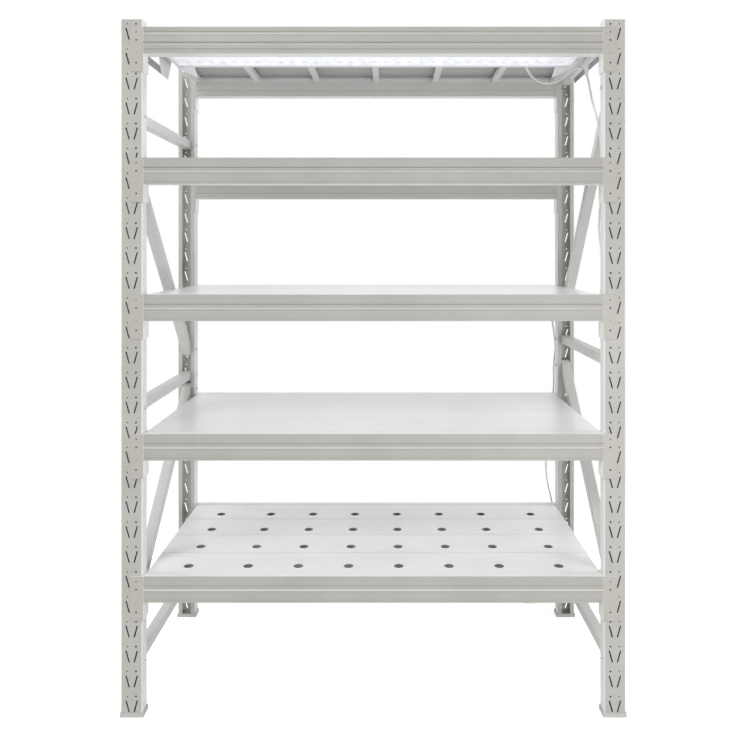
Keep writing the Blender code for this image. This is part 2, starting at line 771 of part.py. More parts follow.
def hanger_mesh(side, width, back_share):
    """A folded strap under the lamp's end and the end bar, with an ear hanging at its outside."""
    near = LAMP_HALF + SEAT_GAP
    sheet = HANGER_SHEET
    low = LAMP_TOP - LAMP_HEIGHT - SEAT_GAP - sheet
    strap = [
        (near - HANGER_LEDGE, low),
        (near + sheet, low),
        (near + sheet, LAMP_TOP - sheet),
        (DECK_HALF, LAMP_TOP - sheet),
        (DECK_HALF, LAMP_TOP),
        (near, LAMP_TOP),
        (near, low + sheet),
        (near - HANGER_LEDGE, low + sheet),
    ]
    middle = LAMP_FRONT_Y + back_share * LAMP_WIDTH - width / 2
    loop = [(side * x, z) for x, z in strap]
    mesh = outline_mesh("hanger", [loop], width, Matrix.Translation((0, middle, 0)) @ ALONG_Y)
    ear_top = LAMP_TOP - sheet / 2
    ear = [
        (middle - width / 2, ear_top),
        (middle + width / 2, ear_top),
        (middle + width * EAR_FOOT_SHARE / 2, LAMP_TOP - EAR_DROP),
        (middle - width * EAR_FOOT_SHARE / 2, LAMP_TOP - EAR_DROP),
    ]
    place = Matrix.Translation((side * (DECK_HALF - sheet / 2), 0, 0)) @ ALONG_X
    return weld(mesh, [outline_mesh("ear", [ear], sheet, place)])


def build_hangers():
    for side, sign in (("left", -1), ("right", 1)):
        mesh = hanger_mesh(sign, HANGER_WIDTHS[side], HANGER_BACK_SHARES[side])
        add_piece(f"lamp_hanger_{side}", mesh, WHITE_PAINT)


# Lead

def smooth_points(route, count):
    """Points along a smooth curve through the points of a route, closer where those are closer."""
    points = [Vector(point) for point in route]
    ends = [2 * points[0] - points[1]] + points + [2 * points[-1] - points[-2]]
    spans = len(points) - 1
    chosen = []
    for number in range(count):
        spot = spans * number / (count - 1)
        index = min(int(spot), spans - 1)
        t = spot - index
        before, start, stop, after = ends[index : index + 4]
        bend = 2 * before - 5 * start + 4 * stop - after
        twist = 3 * start - before - 3 * stop + after
        chosen.append(start + ((stop - before) * t + bend * t**2 + twist * t**3) / 2)
    return chosen


def tube_mesh(name, points, resolution):
    curve = bpy.data.curves.new(name, "CURVE")
    curve.dimensions = "3D"
    curve.bevel_depth = LEAD_RADIUS
    curve.bevel_resolution = resolution
    curve.use_fill_caps = True
    spline = curve.splines.new("POLY")
    spline.points.add(len(points) - 1)
    for target, point in zip(spline.points, points):
        target.co = (*point, 1)
    return mesh_from_curve(curve, name)


def coil_points():
    """Turns that spiral in on the floor, climb a layer while they reverse, and spiral out again."""
    layer = COIL_TURNS_PER_LAYER
    climb_turns = 1 / 2
    turns = 2 * layer + climb_turns
    front = COIL_Y - COIL_OUTER_RADIUS
    points = [Vector((COIL_X + 2 * LEAD_RADIUS, front, FLOOR_Z))]
    for step in range(int(turns * COIL_STEPS) + 1):
        turn = step / COIL_STEPS
        angle = -math.pi / 2 - 2 * math.pi * turn
        radius = COIL_OUTER_RADIUS - COIL_PITCH * min(turn, turns - turn)
        climb = min(max((turn - layer) / climb_turns, 0), 1)
        lift = COIL_PITCH * (3 * climb**2 - 2 * climb**3)
        across = radius * math.cos(angle)
        back = radius * math.sin(angle)
        points.append(Vector((COIL_X + across, COIL_Y + back, FLOOR_Z + lift)))
    points.append(points[-1] + Vector((COIL_TAIL, 0, 0)))
    return points


def least_gap(points, skip):
    """The least clear distance between stretches of the lead that aren't neighbours."""
    least = math.inf
    for index, first in enumerate(points):
        for second in points[index + skip :]:
            least = min(least, (first - second).length)
    return least - 2 * LEAD_RADIUS


def run_length(points):
    return sum((second - first).length for first, second in zip(points, points[1:]))


def plug_mesh(start):
    """A plain two-pin plug that lies on the floor, its neck towards the coil."""
    turn = Matrix.Rotation(math.pi / 2, 4, "Y")
    along = Vector((1, 0, 0))
    neck_place = Matrix.Translation(start + along * PLUG_NECK_LENGTH / 2) @ turn
    neck = rod_mesh("plug", GLAND_TIP_RADIUS, PLUG_NECK_RADIUS, PLUG_NECK_LENGTH, ROUND_SIDES, neck_place)
    begin = start + along * (PLUG_NECK_LENGTH - WELD_OVERLAP)
    half_width = PLUG_WIDTH / 2
    half_height = PLUG_HEIGHT / 2
    bevel = PLUG_BEVEL
    outline = [
        (half_width - bevel, half_height),
        (half_width, half_height - bevel),
        (half_width, bevel - half_height),
        (half_width - bevel, -half_height),
        (bevel - half_width, -half_height),
        (-half_width, bevel - half_height),
        (-half_width, half_height - bevel),
        (bevel - half_width, half_height),
    ]
    body_place = Matrix.Translation(begin + along * PLUG_LENGTH / 2) @ ALONG_X
    body = outline_mesh("body", [outline], PLUG_LENGTH, body_place)
    pins = []
    for side in (-1, 1):
        root = begin + along * (PLUG_LENGTH - WELD_OVERLAP) + Vector((0, side * PIN_SPACING / 2, 0))
        spread = Vector((0, PIN_THICKNESS / 2, PIN_HEIGHT / 2))
        pins.append(box_mesh("pin", root - spread, root + along * PIN_LENGTH + spread))
    return weld(neck, [body] + pins)


def build_lead():
    route = [(UPRIGHT_X + across, back, height) for across, back, height in LEAD_ROUTE]
    points = smooth_points(route, LEAD_POINTS)
    add_piece("lamp_lead", tube_mesh("lead", points, 2), CORD_PLASTIC)
    coil = coil_points()
    add_piece("lead_coil", tube_mesh("coil", coil, 1), CORD_PLASTIC)
    add_piece("lead_plug", plug_mesh(coil[-1] + Vector((SEAT_GAP, 0, 0))), CORD_PLASTIC)
    print(f"lead {run_length(points):.3f} m, coil {run_length(coil):.3f} m")
    print(f"least gap in the coil {least_gap(coil, COIL_STEPS // 2):.5f} m")


clear_scene()
parts = make_collection("hydroponic_rack")
cutters = make_collection("cutters")
build_uprights()
build_feet()
build_beams()
build_braces()
build_frames()
build_boards()
build_tray()
build_lamp()
build_hangers()
build_lead()
bpy.data.collections.remove(cutters)
faces = [face for piece in parts.objects for face in piece.data.polygons]
print(f"{len(parts.objects)} pieces, {sum(len(face.vertices) - 2 for face in faces)} triangles")
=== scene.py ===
import math

import bmesh
import bpy
import numpy as np
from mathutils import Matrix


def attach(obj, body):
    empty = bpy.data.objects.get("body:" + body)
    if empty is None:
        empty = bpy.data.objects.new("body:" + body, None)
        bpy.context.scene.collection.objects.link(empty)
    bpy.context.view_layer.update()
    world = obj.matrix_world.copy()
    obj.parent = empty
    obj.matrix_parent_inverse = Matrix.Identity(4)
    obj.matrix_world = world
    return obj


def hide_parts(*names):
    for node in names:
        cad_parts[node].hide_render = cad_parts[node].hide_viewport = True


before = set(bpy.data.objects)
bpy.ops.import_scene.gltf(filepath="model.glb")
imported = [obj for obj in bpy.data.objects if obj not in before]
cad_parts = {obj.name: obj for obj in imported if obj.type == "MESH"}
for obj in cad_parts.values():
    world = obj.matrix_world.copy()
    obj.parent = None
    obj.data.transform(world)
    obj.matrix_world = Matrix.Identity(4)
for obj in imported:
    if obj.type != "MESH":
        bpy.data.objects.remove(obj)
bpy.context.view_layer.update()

studio = {
    "cameraPlace": (0.041, -2.513, 1.400),
    "lens": 35.9,
    "sensor": 36.0,
    "shift": (-0.030, -0.155),
    "floorReach": 9.0,
    "floorLines": 13,
    "floorFade": (1.3, 2.6),  # what the camera sees of the floor thins out between these distances
    "floorDrop": 0.0006,  # just under the feet
    "floorLift": 0.56,
    "floorClouds": 0.7,
    "floorTones": (0.80, 0.77),
    "floorBounce": 0.42,  # the floor's tone for light that the camera doesn't see
    "floorRoughness": 0.9,
    "skyLight": 0.56,
    "lights": {  # place, aim, size and power
        "keyLight": ((-2.0, -6.4, 6.6), (0.0, 0.0, 0.8), (3.4, 2.6), 232),
        "fillLight": ((1.2, -3.5, 0.5), (0.0, 0.0, 0.2), (2.6, 0.8), 36),
        "rearLight": ((0.6, 3.6, 3.4), (0.0, 0.2, 1.0), (3.0, 2.0), 18),
        "leftLight": ((-3.4, -0.25, 1.5), (0.7, -0.25, 1.2), (1.6, 2.6), 66),
        "rightLight": ((3.4, -0.25, 1.5), (-0.7, -0.25, 1.2), (1.6, 2.6), 66),
    },
}

tierTops = [0.42399, 0.85197, 1.27155, 1.68357, 2.077005]
ends = {"front": -1, "rear": 1}
sides = {"left": -1, "right": 1}
uprightMiddle = 0.7275  # of the left and right uprights, from the rack's middle
samePlace = 1e-6  # points nearer than this are one


def linked(name, data):
    # a new object in the scene
    thing = bpy.data.objects.new(name, data)
    bpy.context.scene.collection.objects.link(thing)
    return thing


def addMesh(name, points, faces, material, body="rack", smooth=True):
    # puts points and faces into a new piece that rides on a body
    mesh = bpy.data.meshes.new(name)
    mesh.from_pydata(np.asarray(points, float).reshape(-1, 3).tolist(), [], faces)
    mesh.materials.append(material)
    mesh.polygons.foreach_set("use_smooth", [smooth] * len(mesh.polygons))
    mesh.update()
    piece = linked(name, mesh)
    if body:
        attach(piece, body)
    return piece


def pointsAt(x, y, z):
    # one array of points from their three coordinates, each repeated where it is shorter
    return np.stack(np.broadcast_arrays(x, y, z), axis=-1)


def gridFaces(rows, columns, wrap=True, copies=1):
    # four-sided faces between neighbouring rows and columns of a grid, repeated for each copy of it
    r, c = np.meshgrid(np.arange(rows - 1), np.arange(columns if wrap else columns - 1), indexing="ij")
    here, beside = r * columns + c, r * columns + (c + 1) % columns
    quads = np.stack([here, beside, beside + columns, here + columns], axis=-1).reshape(-1, 4)
    step = np.arange(copies)[:, None, None] * rows * columns
    return (quads[None] + step).reshape(-1, 4).tolist()


def closeSeams(piece):
    # merges the points that meet at poles and seams, then turns every face outwards
    work = bmesh.new()
    work.from_mesh(piece.data)
    bmesh.ops.remove_doubles(work, verts=work.verts, dist=samePlace)
    bmesh.ops.recalc_face_normals(work, faces=work.faces)
    work.to_mesh(piece.data)
    work.free()


def roundEdges(piece, width, segments=2):
    # rounds the edges that turn by more than 35 degrees
    easing = piece.modifiers.new("easedEdges", "BEVEL")
    easing.width, easing.segments = width, segments
    easing.limit_method, easing.angle_limit = "ANGLE", math.radians(35)


def turned(profile, steps, sixSided=None):
    # a profile of (radius, height) rows turned round the Z axis
    # where sixSided is 1 the radius follows a hexagon
    profile = np.asarray(profile, float)
    angle = np.arange(steps) * 2 * np.pi / steps
    corner = np.cos(np.pi / 6) / np.cos(np.mod(angle, np.pi / 3) - np.pi / 6)
    flat = np.zeros(len(profile)) if sixSided is None else np.asarray(sixSided, float)
    radius = profile[:, :1] * (1 + flat[:, None] * (corner[None] - 1))
    return pointsAt(radius * np.cos(angle), radius * np.sin(angle), profile[:, 1:])


def weave(points, count):
    # points along the smooth curve through the given ones: a cubic for each span, cut into count steps
    points = np.asarray(points, float)
    padded = np.vstack([2 * points[0] - points[1], points, 2 * points[-1] - points[-2]])
    t = (np.arange(count) / count)[None, :, None]
    a, b, c, d = (padded[i : i + len(points) - 1][:, None] for i in range(4))
    square, cube = 2 * a - 5 * b + 4 * c - d, 3 * b - a - 3 * c + d
    spans = 0.5 * (2 * b + (c - a) * t + square * t**2 + cube * t**3)
    return np.vstack([spans.reshape(-1, 3), points[-1:]])


class Signal:
    # an output socket of a material; +, - and * on signals add Math nodes

    def __init__(self, tree, socket):
        self.tree, self.socket = tree, socket

    def math(self, operation, first, second=0.0):
        made = self.tree.nodes.new("ShaderNodeMath")
        made.operation = operation
        for socket, value in zip(made.inputs, (first, second)):
            plugIn(self.tree, value, socket)
        return Signal(self.tree, made.outputs[0])

    def __add__(self, other):
        return self.math("ADD", self, other)

    __radd__ = __add__

    def __sub__(self, other):
        return self.math("SUBTRACT", self, other)

    def __rsub__(self, other):
        return self.math("SUBTRACT", other, self)

    def __mul__(self, other):
        return self.math("MULTIPLY", self, other)

    __rmul__ = __mul__

    def between(self, low, high):
        # 0 below low, 1 above high, a smooth climb in between
        made = self.tree.nodes.new("ShaderNodeMapRange")
        made.interpolation_type = "SMOOTHSTEP"
        for name, value in (("Value", self), ("From Min", low), ("From Max", high)):
            plugIn(self.tree, value, made.inputs[name])
        return Signal(self.tree, made.outputs[0])


def plugIn(tree, value, socket):
    # links a signal to a socket, or gives the socket a value; colours are opaque
    if isinstance(value, Signal):
        tree.links.new(value.socket, socket)
    else:
        socket.default_value = (*value, 1.0) if socket.type == "RGBA" else value


class Finish:
    # one material, with the shader's fixed numbers set on its own sockets

    def __init__(self, name, **fixed):
        self.material = bpy.data.materials.new(name)
        self.material.use_nodes = True
        self.tree = self.material.node_tree
        self.shader = self.tree.nodes["Principled BSDF"]
        self.set(**fixed)

    def node(self, kind, settings=None, inputs=None, output=0):
        made = self.tree.nodes.new("ShaderNode" + kind)
        for name, value in (settings or {}).items():
            setattr(made, name, value)
        for name, value in (inputs or {}).items():
            plugIn(self.tree, value, made.inputs[name])
        return Signal(self.tree, made.outputs[output])

    def place(self, stretch=(1.0, 1.0, 1.0)):
        # object coordinates, squeezed by a factor on each axis
        spot = self.node("TexCoord", output=3)
        return self.node("Mapping", inputs={"Vector": spot, "Scale": stretch})

    def along(self, axis):
        # the object coordinate on one axis, 0 to 2
        return self.node("SeparateXYZ", inputs={"Vector": self.place()}, output=axis)

    def facing(self, axis, eased=True):
        # how far the surface faces along an axis, with its smooth normal or with that of its faces
        normal = self.node("NewGeometry", output=1 if eased else 3)
        return self.node("SeparateXYZ", inputs={"Vector": normal}, output=axis)

    def noise(self, scale, detail=2.0, roughness=0.5, stretch=(1.0, 1.0, 1.0), span=None):
        spot = self.place(stretch)
        inputs = {"Vector": spot, "Scale": scale, "Detail": detail, "Roughness": roughness}
        made = self.node("TexNoise", inputs=inputs)
        return made.between(*span) if span else made

    def tint(self, amount, first, second):
        # a colour between two, by the amount
        mix = self.node("Mix", {"data_type": "RGBA"}, output=2)
        made = mix.socket.node
        plugIn(self.tree, amount, made.inputs["Factor"])
        plugIn(self.tree, first, made.inputs[6])
        plugIn(self.tree, second, made.inputs[7])
        return mix

    def bump(self, height, depth, strength=1.0):
        made = self.node("Bump", inputs={"Height": height, "Distance": depth, "Strength": strength})
        self.set(Normal=made)

    def set(self, **values):
        for socket, value in values.items():
            plugIn(self.tree, value, self.shader.inputs[socket.replace("_", " ")])


# a scale counts features to the metre, a span says where a noise begins to show and where it shows in
# full, and a share or a gloss says how much it adds to the tone or to the roughness
paint = {
    "patches": {"scale": 5.5, "detail": 3.0, "roughness": 0.55, "span": (0.32, 0.70)},
    "pebbles": {"scale": 780, "roughness": 0.6},
    "pebbleSpan": (0.35, 0.75),
    "pebbleTone": (0.16, 0.16, 0.15),
    "pebbleShare": 0.07,
    "pebbleGloss": 0.16,
    "pebbleDepth": 0.00011,
    "pebbleStrength": 0.55,
    "swells": {"scale": 150, "detail": 1.0},
    "swellShare": 0.6,
    "rubs": {
        "scale": 46, "detail": 5.0, "roughness": 0.62, "stretch": (1.0, 1.0, 0.22), "span": (0.60, 0.72)
    },
    "rubShare": 0.22,
    "rubGloss": 0.06,
    # shares of the painted highlight on slopes that face up and of the painted shade on those that face
    # down
    "slopeLightShares": (0.9, 0.8),  # of slopes that face up and of those that face down
    "plateEdge": (0.6912, 0.6920),  # where a beam's end plates begin, from the rack's middle
    # how far a surface faces one way where a tone for that way begins, and where it is full; the slope,
    # level and inward tones are painted light and shade
    "slope": (0.12, 0.45),
    "level": (0.88, 0.98),
    "turned": (0.2, 0.8),
    "inward": (0.25, 0.55),  # times its distance from the rack's middle
}


def powderCoat(name, light, dark, scuff, roughness=0.46, **tones):
    # satin powder coat: a fine pebbled skin, slow drifts of tone, and faint rubbed marks
    # tones, where given: far, painted light beyond a depth on faces that lie in shade; plate on the beams'
    # end plates; four slope tones, painted highlight on slopes that face up, painted shade on slopes that
    # face down, and painted highlight on flat tops and flat undersides; inward, painted light on flanges
    # that face the rack's middle; and back, the plain tone, on surfaces that face to the rear
    coat = Finish(name, Coat_Weight=0.12, Coat_Roughness=0.32, Specular_IOR_Level=0.42)
    patches, pebbles, rubs = (coat.noise(**paint[kind]) for kind in ("patches", "pebbles", "rubs"))
    tone = coat.tint(patches, light, dark)
    # painted light on faces beyond a depth, which lie in shade
    if "far" in tones:
        farLightTone, *span = tones["far"]
        tone = coat.tint(coat.along(1).between(*span), tone, farLightTone)
    if "plate" in tones:
        across = coat.along(0)
        across = across.math("ABSOLUTE", across)
        tone = coat.tint(across.between(*paint["plateEdge"]), tone, tones["plate"])
    # painted highlight on slopes that face up, on flat tops and on flat undersides; painted shade on slopes
    # that face down
    if "ledges" in tones:
        risingHighlightTone, fallingShadeTone, topHighlightTone, underLightTone = tones["ledges"]
        risingShare, fallingShare = paint["slopeLightShares"]
        rise = coat.facing(2, eased=False)
        tone = coat.tint(rise.between(*paint["slope"]) * risingShare, tone, risingHighlightTone)
        tone = coat.tint((rise * -1.0).between(*paint["slope"]) * fallingShare, tone, fallingShadeTone)
        tone = coat.tint(rise.between(*paint["level"]), tone, topHighlightTone)
        tone = coat.tint((rise * -1.0).between(*paint["level"]), tone, underLightTone)
    # painted light on flanges that face the rack's middle
    if "inward" in tones:
        towards = coat.along(0) * coat.facing(0) * -1.0
        tone = coat.tint(towards.between(*paint["inward"]), tone, tones["inward"])
    if "back" in tones:
        tone = coat.tint(coat.facing(1).between(*paint["turned"]), tone, tones["back"])
    tone = coat.tint(rubs * paint["rubShare"], tone, scuff)
    specks = pebbles.between(*paint["pebbleSpan"]) * paint["pebbleShare"]
    tone = coat.tint(specks, tone, paint["pebbleTone"])
    roughness = roughness + (pebbles - 0.5) * paint["pebbleGloss"] - rubs * paint["rubGloss"]
    coat.set(Base_Color=tone, Roughness=roughness)
    skin = pebbles + coat.noise(**paint["swells"]) * paint["swellShare"]
    coat.bump(skin, paint["pebbleDepth"], paint["pebbleStrength"])
    return coat.material


enamel = {
    "patches": {"scale": 4.0, "span": (0.30, 0.72)},
    "patchShare": 0.5,
    "rolling": {
        "scale": 9.0, "detail": 4.0, "roughness": 0.6, "stretch": (0.22, 11.0, 1.0), "span": (0.35, 0.70)
    },
    "rollingGloss": 0.10,
    "peel": {"scale": 330},
    "peelGloss": 0.05,
    "peelDepth": 0.00006,
    "peelStrength": 0.4,
}


def boardPaint(name, light, dark, streaks=0.5, roughness=0.34, undersideShade=None):
    # white enamel on rolled sheet: long faint streaks along the board and a light orange peel
    coat = Finish(name, Coat_Weight=0.25, Coat_Roughness=0.18, Specular_IOR_Level=0.45)
    patches, rolling, peel = (coat.noise(**enamel[kind]) for kind in ("patches", "rolling", "peel"))
    tone = coat.tint(patches * enamel["patchShare"] + rolling * streaks, light, dark)
    if undersideShade:  # painted shade below, where the boards' undersides lie in shade
        tone = coat.tint((coat.facing(2) * -1.0).between(*paint["turned"]), tone, undersideShade)
    roughness = roughness + (rolling - 0.5) * enamel["rollingGloss"] + (peel - 0.5) * enamel["peelGloss"]
    coat.set(Base_Color=tone, Roughness=roughness)
    coat.bump(peel, enamel["peelDepth"], enamel["peelStrength"])
    return coat.material


plastic = {
    "flow": {
        "scale": 14.0, "detail": 3.0, "roughness": 0.6, "stretch": (0.4, 1.0, 1.6), "span": (0.34, 0.70)
    },
    "flowGloss": 0.05,
    "sparkRoughness": 0.65,
    "sparkGloss": 0.18,
    "sparkDepth": 0.00009,
    "sparkStrength": 0.5,
    "upright": (0.40, 0.90),  # how far up a surface faces where the painted shade of upright sides ends
}


def moulded(name, light, dark, grain, roughness, shine=0.45, edge=None):
    # moulded plastic: a sparked grain, soft flow marks and a little uneven gloss
    # edge, where given, is painted shade on upright sides, which darkens the gaps between boards
    skin = Finish(name, Specular_IOR_Level=shine)
    flow = skin.noise(**plastic["flow"])
    spark = skin.noise(grain, roughness=plastic["sparkRoughness"])
    tone = skin.tint(flow, light, dark)
    if edge:
        # painted shade on upright sides
        rise = skin.facing(2, eased=False)
        tone = skin.tint(1.0 - rise.between(*plastic["upright"]), tone, edge)
    roughness = roughness + (spark - 0.5) * plastic["sparkGloss"] + flow * plastic["flowGloss"]
    skin.set(Base_Color=tone, Roughness=roughness)
    skin.bump(spark, plastic["sparkDepth"], plastic["sparkStrength"])
    return skin.material


zinc = {
    "spangle": {"scale": 420, "detail": 3.0, "roughness": 0.6},
    "spangleGloss": 0.2,
    "spangleDepth": 0.00006,
    "spangleStrength": 0.5,
    "dull": {"scale": 120, "span": (0.35, 0.70)},
    "dullMetal": 0.2,  # how much less metallic it is where it is dull
    "tones": ((0.68, 0.69, 0.70), (0.47, 0.48, 0.50)),
    "metallic": 0.9,
    "roughness": 0.26,
}


def zincPlate(name):
    # bright zinc on bolts: spangled tone, dulled in patches
    metal = Finish(name, Specular_IOR_Level=0.5)
    spangle = metal.noise(**zinc["spangle"])
    dull = metal.noise(**zinc["dull"])
    metal.set(
        Base_Color=metal.tint(dull, *zinc["tones"]),
        Metallic=zinc["metallic"] - dull * zinc["dullMetal"],
        Roughness=zinc["roughness"] + spangle * zinc["spangleGloss"],
    )
    metal.bump(spangle, zinc["spangleDepth"], zinc["spangleStrength"])
    return metal.material


vinyl = {
    "bands": {"scale": 60, "detail": 3.0, "roughness": 0.6, "span": (0.35, 0.70)},
    "spark": {"scale": 900},
    "gloss": 0.1,
    "depth": 0.00008,
    "strength": 0.5,
    "tones": ((0.80, 0.80, 0.79), (0.71, 0.71, 0.70)),
    "roughness": 0.42,
}


def cordJacket(name):
    # drawn vinyl jacket: faint bands from the cooling bath and a soft gloss
    jacket = Finish(name, Specular_IOR_Level=0.4)
    bands = jacket.noise(**vinyl["bands"])
    spark = jacket.noise(**vinyl["spark"])
    jacket.set(
        Base_Color=jacket.tint(bands, *vinyl["tones"]),
        Roughness=vinyl["roughness"] + bands * vinyl["gloss"] + (spark - 0.5) * vinyl["gloss"],
    )
    jacket.bump(spark + bands, vinyl["depth"], vinyl["strength"])
    return jacket.material


clear = {
    "haze": {"scale": 7.0, "stretch": (0.4, 1.0, 1.0)},
    "hazeGloss": 0.12,
    "waves": {"scale": 90, "detail": 1.0},
    "waveDepth": 0.00005,
    "waveStrength": 0.3,
    "tones": ((0.92, 0.94, 0.98), (0.84, 0.87, 0.93)),
    "roughness": 0.14,
}


def clearCover(name):
    # clear cover under the lamp: mostly see-through, with a soft shine
    cover = Finish(name, Specular_IOR_Level=0.35, Alpha=0.16)
    haze = cover.noise(**clear["haze"])
    tone = cover.tint(haze, *clear["tones"])
    cover.set(Base_Color=tone, Roughness=clear["roughness"] + haze * clear["hazeGloss"])
    cover.bump(cover.noise(**clear["waves"]), clear["waveDepth"], clear["waveStrength"])
    return cover.material


lamplight = {
    "span": (0.3, 0.7),
    "dim": (0.66, 0.68, 0.74),
    "dimShare": 0.25,
    "aged": (0.62, 0.63, 0.66),
    "cupFade": (0.30, 0.95),  # shares of a cup's radius
}


def litSurface(name, glow, strength, body, variation, cell=None):
    # a lamp surface that gives light, a little uneven
    # cell, where given, is its tone in the cups, where its own map falls to 0
    lit = Finish(name, Roughness=0.35, Emission_Strength=strength)
    uneven = lit.noise(variation, 1.0, span=lamplight["span"])
    given = lit.tint(uneven * lamplight["dimShare"], glow, lamplight["dim"])
    if cell:
        reach = lit.node("SeparateXYZ", inputs={"Vector": lit.node("UVMap", {"uv_map": "cupReach"})})
        given = lit.tint(1.0 - reach.between(*lamplight["cupFade"]), given, cell)
    lit.set(Base_Color=lit.tint(uneven, body, lamplight["aged"]), Emission_Color=given)
    return lit.material


# far: painted light on the webs inside the rear uprights, which lie in shade; inward: painted light on the
# flanges that face the rack's middle; back: the plain tone
postPaint = powderCoat(
    "postPaint",
    (0.496, 0.488, 0.456),
    (0.456, 0.449, 0.420),
    (0.42, 0.41, 0.38),
    far=((0.610, 0.608, 0.594), 0.300, 0.314),
    inward=(0.800, 0.796, 0.782),
    back=(0.480, 0.472, 0.442),
)
# far: painted light on the rear beams' inner faces, which lie in shade; the four slope tones paint
# highlights and shade on ribs, tops and undersides; inward: painted light on the end plates' legs that face
# the rack's middle
beamPaint = powderCoat(
    "beamPaint",
    (0.446, 0.439, 0.408),
    (0.412, 0.407, 0.379),
    (0.54, 0.53, 0.50),
    0.42,
    far=((0.570, 0.568, 0.552), 0.1, 0.2),
    plate=(0.478, 0.462, 0.424),
    ledges=(
        (0.780, 0.770, 0.725),
        (0.270, 0.264, 0.240),
        (0.930, 0.930, 0.915),
        (0.880, 0.880, 0.870),
    ),
    inward=(0.880, 0.878, 0.870),
)
bracePaint = powderCoat("bracePaint", (0.665, 0.661, 0.65), (0.62, 0.616, 0.604), (0.56, 0.56, 0.54), 0.4)
# near black strips behind the front uprights' slots: painted shade; back is the plain grey of their side
# that faces the rear
slotShadePaint = powderCoat(
    "slotShadePaint",
    (0.068, 0.068, 0.062),
    (0.054, 0.054, 0.050),
    (0.085, 0.085, 0.078),
    0.6,
    back=(0.500, 0.492, 0.460),
)
framePaint = powderCoat("framePaint", (0.68, 0.68, 0.668), (0.63, 0.63, 0.618), (0.54, 0.54, 0.53))
# dark grey paint for the hanger arms: painted shade on their shaded inner sides
shadedArmPaint = powderCoat("shadedArmPaint", (0.3, 0.3, 0.295), (0.26, 0.26, 0.256), (0.36, 0.36, 0.35))
# the grey below the boards is painted shade
deckPaint = boardPaint(
    "deckPaint", (0.885, 0.885, 0.892), (0.83, 0.83, 0.836), undersideShade=(0.46, 0.46, 0.45)
)
hangerPaint = boardPaint("hangerPaint", (0.80, 0.80, 0.81), (0.74, 0.74, 0.75), 0.2)
# edge: painted shade on the boards' upright sides
plantingPlastic = moulded(
    "plantingPlastic", (0.925, 0.925, 0.932), (0.89, 0.89, 0.898), 520, 0.34, edge=(0.36, 0.36, 0.37)
)
# whiter plastic for the holes' rims: partly a painted highlight round their mouths
rimHighlightPlastic = moulded("rimHighlightPlastic", (0.95, 0.95, 0.955), (0.92, 0.92, 0.926), 620, 0.24, 0.5)
trayPlastic = moulded("trayPlastic", (0.66, 0.66, 0.665), (0.60, 0.60, 0.605), 420, 0.42)
footPlastic = moulded("footPlastic", (0.545, 0.540, 0.515), (0.490, 0.485, 0.460), 380, 0.55)
plugPlastic = moulded("plugPlastic", (0.78, 0.78, 0.775), (0.70, 0.70, 0.695), 700, 0.38)
boltZinc = zincPlate("boltZinc")
cordVinyl = cordJacket("cordVinyl")
coverPlastic = clearCover("coverPlastic")
reflectorWhite = litSurface(
    "reflectorWhite", (0.80, 0.80, 0.82), 0.58, (0.80, 0.81, 0.84), 26, cell=(0.40, 0.40, 0.44)
)
smallLampGlow = litSurface("smallLampGlow", (0.86, 0.85, 0.82), 0.36, (0.66, 0.64, 0.57), 60)
# dark grey rubber collars; their dark tone also paints the shade inside the holes
collarShadeRubber = moulded("collarShadeRubber", (0.26, 0.26, 0.26), (0.20, 0.20, 0.20), 600, 0.6, 0.3)
pinRubber = moulded("pinRubber", (0.095, 0.092, 0.085), (0.070, 0.068, 0.062), 900, 0.62, 0.3)
strapCloth = moulded("strapCloth", (0.62, 0.62, 0.61), (0.50, 0.50, 0.49), 1400, 0.85, 0.2)
print("finishes made")


def aimed(data, place, aim):
    # a camera or a light in its place, turned towards a point
    thing = linked(data.name, data)
    way = np.asarray(aim, float) - np.asarray(place, float)
    thing.location = place
    tilt = math.atan2(math.hypot(way[0], way[1]), -way[2])
    thing.rotation_euler = (tilt, 0.0, math.atan2(-way[0], way[1]))
    return thing


def buildStudio():
    lens = bpy.data.cameras.new("rackCamera")
    lens.lens, lens.sensor_width = studio["lens"], studio["sensor"]
    lens.shift_x, lens.shift_y = studio["shift"]
    place = studio["cameraPlace"]
    camera = aimed(lens, place, (place[0], 0.0, place[2]))  # level, looking straight at the front
    bpy.context.scene.camera = camera

    for name, (place, aim, size, power) in studio["lights"].items():
        light = bpy.data.lights.new(name, "AREA")
        light.shape, light.energy = "RECTANGLE", power
        light.size, light.size_y = size
        aimed(light, place, aim)

    world = bpy.data.worlds.new("studioSky")
    bpy.context.scene.world = world
    world.use_nodes = True
    tree = world.node_tree
    tree.nodes.clear()
    path = tree.nodes.new("ShaderNodeLightPath")
    seen = Signal(tree, path.outputs["Is Camera Ray"])
    gloss = Signal(tree, path.outputs["Is Glossy Ray"])
    through = Signal(tree, path.outputs["Is Transmission Ray"])
    direct = seen.math("MINIMUM", seen + gloss + through, 1.0)
    sky = tree.nodes.new("ShaderNodeBackground")
    plugIn(tree, (1.0, 1.0, 1.0), sky.inputs["Color"])
    plugIn(tree, direct * (1.0 - studio["skyLight"]) + studio["skyLight"], sky.inputs["Strength"])
    out = tree.nodes.new("ShaderNodeOutputWorld")
    tree.links.new(sky.outputs[0], out.inputs[0])


